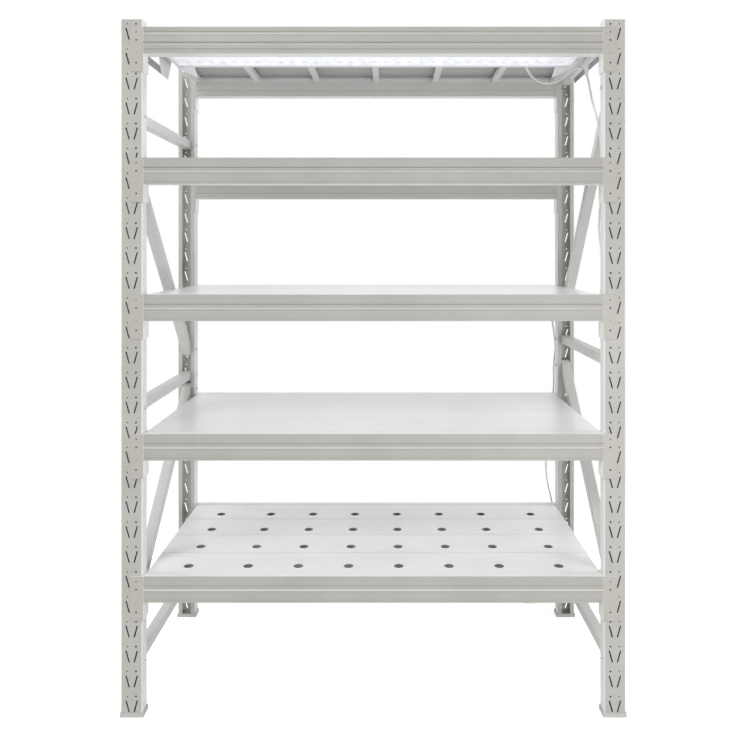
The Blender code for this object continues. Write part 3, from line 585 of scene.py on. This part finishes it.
def buildFloor():
    # pale floor that takes shadows; what the camera sees of it is lifted to white where no shadow falls
    reach, drop, lines = studio["floorReach"], studio["floorDrop"], studio["floorLines"]
    across = np.linspace(-reach, reach, lines)
    x, y = np.meshgrid(across, across, indexing="xy")
    floor = Finish("floorPale", Specular_IOR_Level=0.1)
    cloud = floor.noise(studio["floorClouds"])
    path = floor.node("LightPath")
    outputs = path.socket.node.outputs
    seen = path.math("MINIMUM", path + Signal(floor.tree, outputs["Is Glossy Ray"]), 1.0)
    pale = floor.tint(cloud, *([tone] * 3 for tone in studio["floorTones"]))
    tone = floor.tint(seen, [studio["floorBounce"]] * 3, pale)
    floor.set(Base_Color=tone, Roughness=studio["floorRoughness"] - cloud * 0.1)
    lift = floor.node("Emission", inputs={"Strength": seen * studio["floorLift"]})
    both = floor.tree.nodes.new("ShaderNodeAddShader")
    floor.tree.links.new(floor.shader.outputs[0], both.inputs[0])
    floor.tree.links.new(lift.socket, both.inputs[1])
    distance = floor.node("VectorMath", {"operation": "LENGTH"}, {0: floor.place()}, output=1)
    thin = distance.between(*studio["floorFade"]) * seen
    clear = floor.node("BsdfTransparent")
    fade = floor.tree.nodes.new("ShaderNodeMixShader")
    plugIn(floor.tree, thin, fade.inputs[0])
    floor.tree.links.new(both.outputs[0], fade.inputs[1])
    floor.tree.links.new(clear.socket, fade.inputs[2])
    floor.tree.links.new(fade.outputs[0], floor.tree.nodes["Material Output"].inputs["Surface"])
    faces = gridFaces(lines, lines, wrap=False)
    piece = addMesh("studioFloor", pointsAt(x, y, -drop), faces, floor.material, body=None)


buildStudio()
buildFloor()
bpy.context.scene.view_settings.view_transform = "Standard"
print("studio made")


cord = {
    "diameter": 0.007,
    "exit": (0.52, -0.0174, 2.038),
    "spanSteps": 10,
    "coilCentre": (0.600, 0.435),
    "coilRadius": 0.046,
    "coilPitch": 0.0076,
    "coilBase": 0.0037,
    "coilTurns": 4.5,
    "coilSteps": 48,
    "coilClimb": (2.0, 2.5),  # turns between which it climbs onto its own lower layer
    "roundness": 4,
    "tail": 0.021,
    "tailSteps": 5,
    "route": [
        (0.52, -0.0174, 2.038), (0.52, -0.007, 2.037), (0.5279, 0.0067, 2.0273),
        (0.5481, 0.0139, 2.0048), (0.5828, 0.0093, 1.9842), (0.6255, -0.0079, 1.9855),
        (0.6625, -0.034, 2.0085), (0.6852, -0.0624, 2.0174), (0.6999, -0.0929, 2.0031),
        (0.703, -0.122, 1.961), (0.703, -0.165, 1.89), (0.703, -0.22, 1.818),
        (0.704, -0.256, 1.74), (0.704, -0.267, 1.65), (0.704, -0.261, 1.57),
        (0.703, -0.246, 1.514), (0.702, -0.246, 1.465), (0.703, -0.262, 1.415),
        (0.704, -0.268, 1.35), (0.704, -0.262, 1.28), (0.703, -0.2319, 1.2261),
        (0.702, -0.1701, 1.1975), (0.7019, -0.0467, 1.1853), (0.6988, 0.1519, 1.1735),
        (0.6862, 0.2636, 1.1597), (0.6837, 0.3177, 1.1424), (0.6932, 0.3393, 1.0993),
        (0.702, 0.3439, 1.0341), (0.6963, 0.3439, 0.958), (0.6932, 0.3441, 0.8388),
        (0.6683, 0.3432, 0.6583), (0.6672, 0.3435, 0.5228), (0.6921, 0.3483, 0.3997),
        (0.6965, 0.3588, 0.2823), (0.6887, 0.3755, 0.1198), (0.665, 0.3868, 0.0223),
        (0.6402, 0.3889, 0.0058), (0.623, 0.389, 0.0037), (0.6073, 0.389, 0.0037),
    ],
    "tieAngle": 200,
    "tieWidth": 0.009,
    "tieThick": 0.0012,
    "tieLow": 0.00012,  # just off the floor
    "tieSteps": 48,
    "tieSquare": 0.35,  # how square the band's loop is, 1 for round
}


def coilPoints():
    # a flat spiral: the radius falls by a pitch each turn and then grows again, one pitch higher
    turn = np.linspace(0, cord["coilTurns"], int(cord["coilTurns"] * cord["coilSteps"]) + 1)
    radius = cord["coilRadius"] - cord["coilPitch"] * np.minimum(turn, cord["coilTurns"] - turn)
    begun, done = cord["coilClimb"]
    climb = np.clip((turn - begun) / (done - begun), 0, 1)
    height = cord["coilBase"] + cord["coilPitch"] * climb**2 * (3 - 2 * climb)
    angle = -np.pi / 2 - 2 * np.pi * turn
    x, y = cord["coilCentre"]
    return pointsAt(x + radius * np.cos(angle), y + radius * np.sin(angle), height)


def buildCord():
    # one line: the route from the lamp's gland, the coil on the floor, and a short tail to the plug
    route = weave(cord["route"], cord["spanSteps"])
    coil = coilPoints()
    run = np.linspace(0.0, cord["tail"], cord["tailSteps"] + 1)[1:, None]
    tail = coil[-1] + run * np.array([1.0, 0.0, 0.0])
    line = np.vstack([route[:-1], coil, tail])
    length = float(np.linalg.norm(np.diff(line, axis=0), axis=1).sum())
    curve = bpy.data.curves.new("lampCord", "CURVE")
    curve.dimensions = "3D"
    curve.bevel_depth, curve.bevel_resolution = cord["diameter"] / 2, cord["roundness"]
    curve.use_fill_caps = True
    spline = curve.splines.new("POLY")
    spline.points.add(len(line) - 1)
    spline.points.foreach_set("co", np.hstack([line, np.ones((len(line), 1))]).ravel())
    spline.use_smooth = True
    curve.materials.append(cordVinyl)
    piece = linked("lampCord", curve)
    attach(piece, "rack")
    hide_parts("lamp_lead", "lead_coil")
    return piece, length


def buildTie():
    # a band round the coil's turns: a rounded rectangle, cos and sin each raised to a power,
    # upright in the coil's radius and carried along the band's width
    half, thick = cord["diameter"] / 2, cord["tieThick"]
    inner = cord["coilRadius"] - cord["coilPitch"] * cord["coilTurns"] / 2 - half - thick
    outer = cord["coilRadius"] + half + thick
    low, high = cord["tieLow"], cord["coilBase"] + cord["coilPitch"] + half + thick
    loop = np.linspace(0, 2 * np.pi, cord["tieSteps"], endpoint=False)
    waves = (np.cos(loop), np.sin(loop))
    across, up = (np.sign(wave) * np.abs(wave) ** cord["tieSquare"] for wave in waves)
    rings = []
    for shrink, shift in ((0, -1), (0, 1), (1, 1), (1, -1), (0, -1)):
        halfWide = (outer - inner) / 2 - shrink * thick
        halfTall = (high - low) / 2 - shrink * thick
        radial = (outer + inner) / 2 + halfWide * across
        beside = shift * cord["tieWidth"] / 2
        rings.append(pointsAt(radial, beside, (high + low) / 2 + halfTall * up))
    out, beside, z = np.moveaxis(rings, -1, 0)
    a = math.radians(cord["tieAngle"])
    x = cord["coilCentre"][0] + out * math.cos(a) - beside * math.sin(a)
    y = cord["coilCentre"][1] + out * math.sin(a) + beside * math.cos(a)
    faces = gridFaces(len(rings), cord["tieSteps"])
    piece = addMesh("cordTie", pointsAt(x, y, z), faces, strapCloth)
    closeSeams(piece)
    return piece


lampCord, cordLength = buildCord()
cordTie = buildTie()
print("cord made,", round(cordLength, 3), "m")


def merged(node):
    # a copy of a solid's mesh as one closed skin
    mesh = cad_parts[node].data.copy()
    work = bmesh.new()
    work.from_mesh(mesh)
    bmesh.ops.remove_doubles(work, verts=work.verts, dist=2 * samePlace)
    for edge in work.edges:
        edge.smooth = True
    work.to_mesh(mesh)
    work.free()
    return mesh


easings = {  # width of the rounded edges and number of their segments
    "shell": (0.0005, 2),
    "sheet": (0.0006, 2),
    "channel": (0.0008, 2),
    "plug": (0.0008, 3),
    "beam": (0.0009, 3),
    "foot": (0.0010, 3),
    "planting": (0.0016, 3),
    "board": (0.0022, 3),
}


def eased(node, material, slot, kind, body="rack", cutter=None, shaped=None):
    # a piece that stands for a solid: its copy, shaped and punched if asked for, with rounded edges
    mesh = merged(node)
    if shaped:
        shaped(mesh)
    mesh.materials.clear()
    mesh.materials.append(material)
    piece = linked(node + "_eased", mesh)
    if cutter:
        punch = piece.modifiers.new("punch", "BOOLEAN")
        punch.object, punch.operation, punch.solver = cutter, "DIFFERENCE", "EXACT"
        bpy.context.view_layer.update()
        solved = piece.evaluated_get(bpy.context.evaluated_depsgraph_get())
        ready = bpy.data.meshes.new_from_object(solved)
        piece.modifiers.clear()
        piece.data = ready
        bpy.data.objects.remove(cutter)
    piece.data.polygons.foreach_set("use_smooth", [True] * len(piece.data.polygons))
    roundEdges(piece, *easings[kind])
    even = piece.modifiers.new("evenShading", "WEIGHTED_NORMAL")  # keeps faces flat beside their edges
    even.weight, even.keep_sharp = 100, True
    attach(piece, body)
    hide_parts(node)
    return piece


punches = {
    "firstRow": 0.0615,  # height of the lowest pin hole
    "rowPitch": 0.075,
    "rows": 28,
    "offset": 0.013,  # from the upright's centre line
    "innerRadius": 0.0030,
    "outerRadius": 0.0021,
    "plateAcross": 0.7129,  # of the holes in a beam's end plates
    # drop below the beam's top and radius of each
    "plateHoles": ((0.0155, 0.0022), (0.0400, 0.0030), (0.0790, 0.0015), (0.1080, 0.0030)),
    "rodEnds": (0.331, 0.3155),  # where the rods that cut the uprights begin and end, from the middle
    "plateEnds": (0.331, 0.3205),  # and those that cut the plates
    "sides": 12,
}


def punchRods(name, spots, radii, span, facing):
    # short rods along Y at every spot (x, z), as one mesh to cut with
    spots, radii = np.asarray(spots, float), np.asarray(radii, float)
    angle = np.arange(punches["sides"]) * 2 * np.pi / punches["sides"]
    spread = radii[:, None, None] * np.array([0.0, 1.0, 1.0, 0.0])[None, :, None]
    x = spots[:, 0, None, None] + spread * np.cos(angle)
    y = np.repeat(span, 2)[None, :, None] * facing
    z = spots[:, 1, None, None] + spread * np.sin(angle)
    faces = gridFaces(4, punches["sides"], copies=len(spots))
    rods = addMesh(name, pointsAt(x, y, z), faces, postPaint, body=None, smooth=False)
    closeSeams(rods)
    return rods


def buildUprights():
    # each upright has two columns of pin holes, and stands in a foot
    rows = punches["firstRow"] + punches["rowPitch"] * np.arange(punches["rows"])
    for end, facing in ends.items():
        for side, hand in sides.items():
            inner = (hand * uprightMiddle - hand * punches["offset"], punches["innerRadius"])
            outer = (hand * uprightMiddle + hand * punches["offset"], punches["outerRadius"])
            spots = [(x, z) for x, radius in (inner, outer) for z in rows]
            radii = [radius for x, radius in (inner, outer) for z in rows]
            rods = punchRods(f"rods_{end}_{side}", spots, radii, punches["rodEnds"], facing)
            eased(f"post_{end}_{side}", postPaint, "grey_paint", "sheet", cutter=rods)
            eased(f"foot_{end}_{side}", footPlastic, "foot_plastic", "foot")


backing = {
    "halfWidth": 0.0285,
    "front": -0.3163,
    "thick": 0.0010,
    "low": 0.012,
    "high": 2.0965,
    "ribDepth": 0.0012,
    "ribCount": 4,
    "columns": 33,
}


def buildBacking():
    # a near black ribbed strip inside each front upright, just behind its slots: painted shade that makes
    # the slots look dark
    # depth = rib depth x cosine across, the same all the way up
    across = np.linspace(-backing["halfWidth"], backing["halfWidth"], backing["columns"])
    x, z = np.meshgrid(across, (backing["low"], backing["high"]), indexing="xy")
    wave = np.cos(x / backing["halfWidth"] * backing["ribCount"] * np.pi)
    y = backing["front"] + backing["ribDepth"] * (0.5 - 0.5 * wave)
    faces = gridFaces(2, backing["columns"], wrap=False)
    for side, hand in sides.items():
        points = pointsAt(x + hand * uprightMiddle, y, z)
        piece = addMesh(f"slotShadeStrip_{side}", points, faces, slotShadePaint)
        wall = piece.modifiers.new("stripWall", "SOLIDIFY")
        wall.thickness, wall.offset = backing["thick"], 0.0


ribs = {
    "face": 0.3240,  # of a beam's front, from the rack's middle
    "inside": 0.2820,  # of its inner face
    "faceEnd": 0.6925,
    "slack": 0.0002,
    "level": 1e-5,  # points at one height differ by less than this
    # rows of (drop below the beam's top, how far the face lies in)
    "top": (
        (0.0, 0.0), (0.013, 0.0), (0.0155, 0.0011), (0.0185, 0.0004), (0.035, 0.0004),
        (0.0372, 0.0), (0.065, 0.0), (0.067, 0.0008), (0.08, 0.0008),
    ),
    "others": (
        (0.0, 0.0), (0.0455, 0.0), (0.0475, 0.0006), (0.073, 0.0006), (0.0748, 0.0012), (0.08, 0.0012),
    ),
    "inner": (
        (0.028, 0.0), (0.058, 0.0), (0.06, 0.0012), (0.0615, 0.0012), (0.0655, 0.0), (0.08, 0.0),
    ),
}


def ribRows(number):
    return np.array(ribs["top" if number == len(tierTops) else "others"])


def ribbed(work, place, inward, rows, top, facing):
    # lengthwise ribs in a face of a beam, cut into it at each row's height
    # each point then moves in by the depth that its drop below the top has in the rows
    def onFace(point):
        return abs(point.y * facing - place) < ribs["slack"] and abs(point.x) < ribs["faceEnd"]

    creases = rows[1:-1, 0]
    for drop in creases:
        struck = [face for face in work.faces if all(onFace(v.co) for v in face.verts)]
        parts = list({part for face in struck for part in (face, *face.edges, *face.verts)})
        level = {"plane_co": (0, 0, top - drop), "plane_no": (0, 0, 1)}
        bmesh.ops.bisect_plane(work, geom=parts, dist=samePlace, **level)
    moved = {v: top - v.co.z for v in work.verts if onFace(v.co)}
    for edge in work.edges:
        first, last = (moved.get(v, -1.0) for v in edge.verts)
        if abs(first - last) < ribs["level"] and np.abs(creases - first).min() < ribs["level"]:
            edge.smooth = False
    for v, drop in moved.items():
        v.co.y = facing * (place + inward * float(np.interp(drop, rows[:, 0], rows[:, 1])))


def rolled(mesh, number, facing):
    # a beam with its ribs, those of its front and those of its inner face
    work = bmesh.new()
    work.from_mesh(mesh)
    ribbed(work, ribs["face"], -1, ribRows(number), tierTops[number - 1], facing)
    ribbed(work, ribs["inside"], 1, np.array(ribs["inner"]), tierTops[number - 1], facing)
    work.to_mesh(mesh)
    work.free()


def buildBeams():
    # ten beams, with their ribs and the holes of their end plates
    across, holes = punches["plateAcross"], punches["plateHoles"]
    for number, top in enumerate(tierTops, start=1):
        for end, facing in ends.items():
            spots = [(hand * across, top - drop) for hand in sides.values() for drop, radius in holes]
            radii = [radius for drop, radius in holes] * len(sides)
            rods = punchRods(f"rods_{end}_{number}", spots, radii, punches["plateEnds"], facing)
            making = {"cutter": rods, "shaped": lambda mesh: rolled(mesh, number, facing)}
            eased(f"beam_{end}_{number}", beamPaint, "beam_paint", "beam", **making)


plugs = {
    "slack": 0.0001,  # between a pin and its hole
    "face": 0.3233,
    "back": 0.3221,
    "dome": 0.0002,
    "shoulder": (0.6, 0.7),  # a point of the dome: shares of its radius and of its height
    "steps": 14,
}


def buildPlugs():
    # dark pins sunk in the holes of the end plates: a low dome turned round the hole's middle line
    face, back, dome = plugs["face"], plugs["back"], plugs["dome"]
    beside, share = plugs["shoulder"]
    rows = [(0.0, face + dome), (beside, face + dome * share), (1.0, face), (1.0, back), (0.0, back)]
    unit = turned(rows, plugs["steps"])
    spots = [
        (hand * punches["plateAcross"], top - drop, radius - plugs["slack"])
        for top in tierTops
        for hand in sides.values()
        for drop, radius in punches["plateHoles"]
    ]
    x, z, radius = (column[:, None, None] for column in np.array(spots).T)
    faces = gridFaces(len(rows), plugs["steps"], copies=len(spots))
    for end, facing in ends.items():
        points = pointsAt(x + radius * unit[..., 0], facing * unit[..., 2], z + radius * unit[..., 1])
        closeSeams(addMesh(f"platePins_{end}", points, faces, pinRubber))


def buildBraces():
    for side in sides:
        for part in ("low_strut", "low_diagonal", "middle_strut", "high_diagonal", "high_strut"):
            eased(f"brace_{side}_{part}", bracePaint, "grey_paint", "channel")


def buildDecks():
    # a frame under each tier's boards, and the tray under the planting boards
    for number in range(1, 6):
        eased(f"deck_frame_{number}", framePaint, "beam_paint", "sheet")
    for number in range(2, 5):
        for board in range(1, 5):
            eased(f"board_{number}_{board}", deckPaint, "white_paint", "board")
    eased("top_board", deckPaint, "white_paint", "board")
    for board in range(1, 5):
        name = f"planting_board_{board}"
        eased(name, plantingPlastic, "white_plastic", "planting", body=name)
    eased("nutrient_tray", trayPlastic, "tray_plastic", "channel")


def buildLampShell():
    eased("lamp_housing", hangerPaint, "white_paint", "shell")
    for side in sides:
        eased(f"lamp_hanger_{side}", hangerPaint, "white_paint", "sheet")
    eased("lamp_gland", plantingPlastic, "white_plastic", "shell")
    eased("lamp_lens", coverPlastic, "lens_plastic", "sheet")
    return eased("lead_plug", plugPlastic, "cord_plastic", "plug")


buildUprights()
buildBacking()
print("uprights punched")
buildBeams()
buildPlugs()
buildBraces()
buildDecks()
leadPlug = buildLampShell()
print("steel, boards and lamp shell eased")


lamps = {
    "halfLength": 0.6624,
    "yRange": (-0.2774, -0.0426),
    "sheetHeight": 2.0322,
    "columns": 33,
    "pitch": 0.0390,
    "rows": (-0.236, -0.160, -0.084),
    "cupRadius": 0.0150,
    "cupDepth": 0.0040,
    "gridSteps": (330, 64),  # of the sheet, along and across the lamp
    "sheetThick": 0.0006,
    "domeRadius": 0.0048,
    "domeHeight": 0.0030,
    "domeFoot": 0.0012,
    "domeSides": 8,
}


def buildLampField():
    # a white sheet pressed with round cups: height = depth x half a cosine wave from middle to rim
    half = lamps["halfLength"]
    lengthSteps, widthSteps = lamps["gridSteps"]
    across = np.linspace(-half, half, lengthSteps + 1)
    along = np.linspace(*lamps["yRange"], widthSteps + 1)
    x, y = np.meshgrid(across, along, indexing="xy")
    columns = (np.arange(lamps["columns"]) - (lamps["columns"] - 1) / 2) * lamps["pitch"]
    nearX = np.abs(x[..., None] - columns).min(axis=-1)
    nearY = np.abs(y[..., None] - np.array(lamps["rows"])).min(axis=-1)
    far = np.clip(np.hypot(nearX, nearY) / lamps["cupRadius"], 0, 1)
    z = lamps["sheetHeight"] + lamps["cupDepth"] * (0.5 + 0.5 * np.cos(np.pi * far))
    faces = gridFaces(len(along), len(across), wrap=False)
    sheet = addMesh("lampReflector", pointsAt(x, y, z), faces, reflectorWhite)
    corner = np.array([loop.vertex_index for loop in sheet.data.loops])
    spread = np.stack([far.ravel()[corner], np.zeros(len(corner))], axis=-1)
    reach = sheet.data.uv_layers.new(name="cupReach")
    reach.data.foreach_set("uv", spread.ravel())
    wall = sheet.modifiers.new("sheetWall", "SOLIDIFY")
    wall.thickness, wall.offset = lamps["sheetThick"], 1.0

    # small domes in the cups: a quarter circle turned round the vertical, hanging down
    turn = np.linspace(0, np.pi / 2, 4)
    radius, foot = lamps["domeRadius"], lamps["domeFoot"]
    profile = np.stack([radius * np.sin(turn), -lamps["domeHeight"] * np.cos(turn)], axis=-1)
    profile = np.vstack([profile, [[radius, foot], [0.0, foot]]])
    dome = turned(profile, lamps["domeSides"])
    columnGrid, rowGrid = np.meshgrid(columns, lamps["rows"], indexing="ij")
    level = lamps["sheetHeight"] + lamps["cupDepth"] - lamps["sheetThick"]
    places = pointsAt(columnGrid.ravel(), rowGrid.ravel(), level)
    points = places[:, None, None, :] + dome[None]
    faces = gridFaces(len(profile), lamps["domeSides"], copies=len(places))
    closeSeams(addMesh("smallLamps", points, faces, smallLampGlow))


gussets = {
    "outline": ((0.671, 2.034), (0.614, 2.034), (0.600, 1.991), (0.671, 2.024)),  # outwards and up
    "front": -0.0402,
    "thick": 0.0012,
    "easing": 0.0003,
}


def buildGussets():
    # a sheet plate behind each end of the lamp: its outline, carried through the thickness of the sheet
    outline = np.array(gussets["outline"])
    count = len(outline)
    y = np.repeat(gussets["front"] + np.array([0.0, gussets["thick"]]), count)
    faces = gridFaces(2, count) + [list(range(count)), list(range(count, 2 * count))]
    for side, hand in sides.items():
        points = pointsAt(hand * np.tile(outline[:, 0], 2), y, np.tile(outline[:, 1], 2))
        name = f"lampGusset_{side}"
        piece = addMesh(name, points, faces, hangerPaint, smooth=False)
        closeSeams(piece)
        roundEdges(piece, gussets["easing"])


arms = {
    "outer": 0.6926,  # outer and inner face, from the rack's middle
    "inner": 0.6908,
    "front": -0.279,
    "left": (-0.135, 1.977, 2.001),  # rear end, foot and top
    "right": (0.012, 1.985, 2.003),
    "easing": 0.0004,
    "steps": 24,
    "bow": 0.0004,
}


def buildArms():
    # a flat bar from each hanger towards the front, painted dark: painted shade for its inner side, which
    # lies in shade
    # a four-cornered section swept along Y, bowed towards the middle by bow x sine squared
    share = np.linspace(0, 1, arms["steps"])
    outer, inner = arms["outer"], arms["inner"]
    for side, hand in sides.items():
        rear, foot, top = arms[side]
        section = np.array([(outer, foot), (outer, top), (inner, top), (inner, foot)])
        x = hand * (section[None, :, 0] - arms["bow"] * np.sin(np.pi * share)[:, None] ** 2)
        y = (arms["front"] + (rear - arms["front"]) * share)[:, None]
        points = pointsAt(x, y, section[:, 1])
        last = (arms["steps"] - 1) * 4
        faces = gridFaces(arms["steps"], 4) + [[0, 1, 2, 3], [last, last + 1, last + 2, last + 3]]
        name = f"hangerArm_{side}"
        piece = addMesh(name, points, faces, shadedArmPaint, smooth=False)
        closeSeams(piece)
        roundEdges(piece, arms["easing"])


collars = {
    "acrossPlaces": (-0.57498, -0.38999, -0.23398, -0.07797, 0.07797, 0.23398, 0.38999, 0.57498),
    "firstRow": -0.25033,
    "rowPitch": 0.14885,
    "innerRadius": 0.0150,
    "wall": 0.0010,
    "depth": 0.0185,
    "sheet": 0.0016,  # how far under the board's top the collar starts
    "rimWidth": 0.0026,
    "rimHeight": 0.0007,
    "lip": 0.0004,
    "rimGap": 0.0001,  # between the hole's edge and the rim
    "rimSink": 0.0003,  # how deep the rim's foot lies in the board
    "rimSteps": 6,
    "steps": 28,
}


def buildCollars():
    # a thin ring down every planting hole, turned round the vertical, in dark grey rubber whose tone also
    # paints the shade inside the hole, and a low rim round its mouth, a half wave: height = rim height x
    # sine across the rim's width
    inner, outer = collars["innerRadius"], collars["innerRadius"] + collars["wall"]
    top, low = -collars["sheet"], -collars["depth"]
    lip = ((inner + outer) / 2, low - collars["lip"])
    rows = np.array([(inner, top), (inner, low), lip, (outer, low), (outer, top), (inner, top)])
    ring = turned(rows, collars["steps"])
    # the rim's whiter plastic is partly a painted highlight
    share = np.linspace(0, 1, collars["rimSteps"])
    radius = inner + collars["rimGap"] + collars["rimWidth"] * share
    crest = np.stack([radius, collars["rimHeight"] * np.sin(np.pi * share)], axis=-1)
    foot = crest[::-1][[0, -1]] - [0.0, collars["rimSink"]]
    rim = turned(np.vstack([crest, foot, crest[:1]]), collars["steps"])
    for board in range(1, 5):
        y = collars["firstRow"] + (board - 1) * collars["rowPitch"]
        places = np.array([(x, y, tierTops[0]) for x in collars["acrossPlaces"]])
        body = f"planting_board_{board}"
        for name, form, material in (("holeCollars", ring, collarShadeRubber), ("holeRims", rim, rimHighlightPlastic)):
            points = places[:, None, None, :] + form[None]
            faces = gridFaces(len(form), collars["steps"], copies=len(places))
            closeSeams(addMesh(f"{name}_{board}", points, faces, material, body))


bolts = {
    "y": 0.2985,
    "outerFace": 0.7600,
    "innerFace": 0.6950,
    "headRadius": 0.0062,
    "headHeight": 0.0027,
    "headFlat": 0.86,  # share of the head's radius that is flat
    "headEdge": 0.0005,
    "washerRadius": 0.0078,
    "washerThick": 0.0006,
    "nutRadius": 0.0058,
    "nutHeight": 0.0036,
    "nutFlat": 0.82,
    "nutEdge": 0.0006,
    "shankRadius": 0.0030,
    "shankEnd": 0.0012,  # beyond the nut
    "sides": 24,
    "reach": 0.311,  # from the rack's middle to the ends of the braces' middle lines
    # heights of each brace's front and rear end
    "braces": {
        "left": ((0.1531, 0.1531), (0.3259, 0.8841), (0.9261, 0.9261), (1.6550, 1.0101), (1.8100, 1.8100)),
        "right": ((0.1600, 0.1600), (0.3809, 0.9750), (1.0641, 1.0641), (1.9150, 1.1710), (2.0551, 2.0551)),
    },
}


def buildBolts():
    # one bolt turned round its own length: washer and six-sided head outside, shank through, nut inside
    outer, inner = bolts["outerFace"], bolts["innerFace"]
    thick, head, nut = bolts["washerThick"], bolts["headHeight"], bolts["nutHeight"]
    headRadius, nutRadius, shank = bolts["headRadius"], bolts["nutRadius"], bolts["shankRadius"]
    rows = [  # radius, place along the bolt, and 1 where it is six-sided
        (0.0, outer + head, 0),
        (headRadius * bolts["headFlat"], outer + head, 0),
        (headRadius, outer + head - bolts["headEdge"], 1),
        (headRadius, outer + thick, 1),
        (bolts["washerRadius"], outer + thick, 0),
        (bolts["washerRadius"], outer, 0),
        (shank, outer, 0),
        (shank, inner, 0),
        (nutRadius, inner, 1),
        (nutRadius, inner - nut + bolts["nutEdge"], 1),
        (nutRadius * bolts["nutFlat"], inner - nut, 0),
        (shank, inner - nut, 0),
        (shank, inner - nut - bolts["shankEnd"], 0),
        (0.0, inner - nut - bolts["shankEnd"], 0),
    ]
    rows = np.array(rows)
    bolt = turned(rows[:, :2], bolts["sides"], rows[:, 2])
    for side, hand in sides.items():
        heights = np.array(bolts["braces"][side])
        slope = (heights[:, 1] - heights[:, 0]) / (2 * bolts["reach"])
        front = heights[:, 0] + slope * (bolts["reach"] - bolts["y"])
        rear = heights[:, 1] - slope * (bolts["reach"] - bolts["y"])
        middle = np.repeat([-bolts["y"], bolts["y"]], len(heights))
        y = middle[:, None, None] + bolt[None, ..., 0]
        z = np.concatenate([front, rear])[:, None, None] + bolt[None, ..., 1]
        points = pointsAt(hand * bolt[..., 2], y, z)
        faces = gridFaces(len(rows), bolts["sides"], copies=len(middle))
        closeSeams(addMesh(f"frameBolts_{side}", points, faces, boltZinc, smooth=False))


welds = {
    "radius": 0.0012,
    "ripple": 0.14,
    "ripplePitch": 0.0024,
    "edge": 0.6918,
    "drops": (0.0015, 0.0785),  # of a bead's two ends below the beam's top
    "steps": 160,
    "sides": 10,
    "groove": 0.0025,  # depth of the beam's rolled groove
    "grooveSpan": (0.028, 0.043),  # its drops below the beam's top
    "topGrooveSpan": (0.045, 0.054),
    "grooveSlope": 0.0008,
}


def buildWelds():
    # a rippled bead down each beam's end: circles whose radius swells and narrows as a sine does
    steps = welds["steps"]
    along = np.linspace(*welds["drops"], steps)
    angle = np.arange(welds["sides"]) * 2 * np.pi / welds["sides"]
    radius = welds["radius"] * (1 + welds["ripple"] * np.sin(2 * np.pi * along / welds["ripplePitch"]))
    radius[[0, -1]] = 0.0
    faces = gridFaces(steps, welds["sides"], copies=len(sides))
    for number, top in enumerate(tierTops, start=1):
        span = welds["topGrooveSpan"] if number == len(tierTops) else welds["grooveSpan"]
        begun, ended = (1 / (1 + np.exp((edge - along) / welds["grooveSlope"])) for edge in span)
        rows = ribRows(number)
        face = ribs["face"] - welds["groove"] * (begun - ended) - np.interp(along, rows[:, 0], rows[:, 1])
        for end, facing in ends.items():
            parts = []
            for hand in sides.values():
                x = hand * welds["edge"] + radius[:, None] * np.cos(angle)
                y = facing * ((face - radius / 2)[:, None] + radius[:, None] * np.sin(angle))
                parts.append(pointsAt(x, y, (top - along)[:, None]))
            name = f"weldBeads_{end}_{number}"
            closeSeams(addMesh(name, parts, faces, beamPaint))


buildLampField()
buildGussets()
buildArms()
buildCollars()
buildBolts()
buildWelds()
print("small parts made")
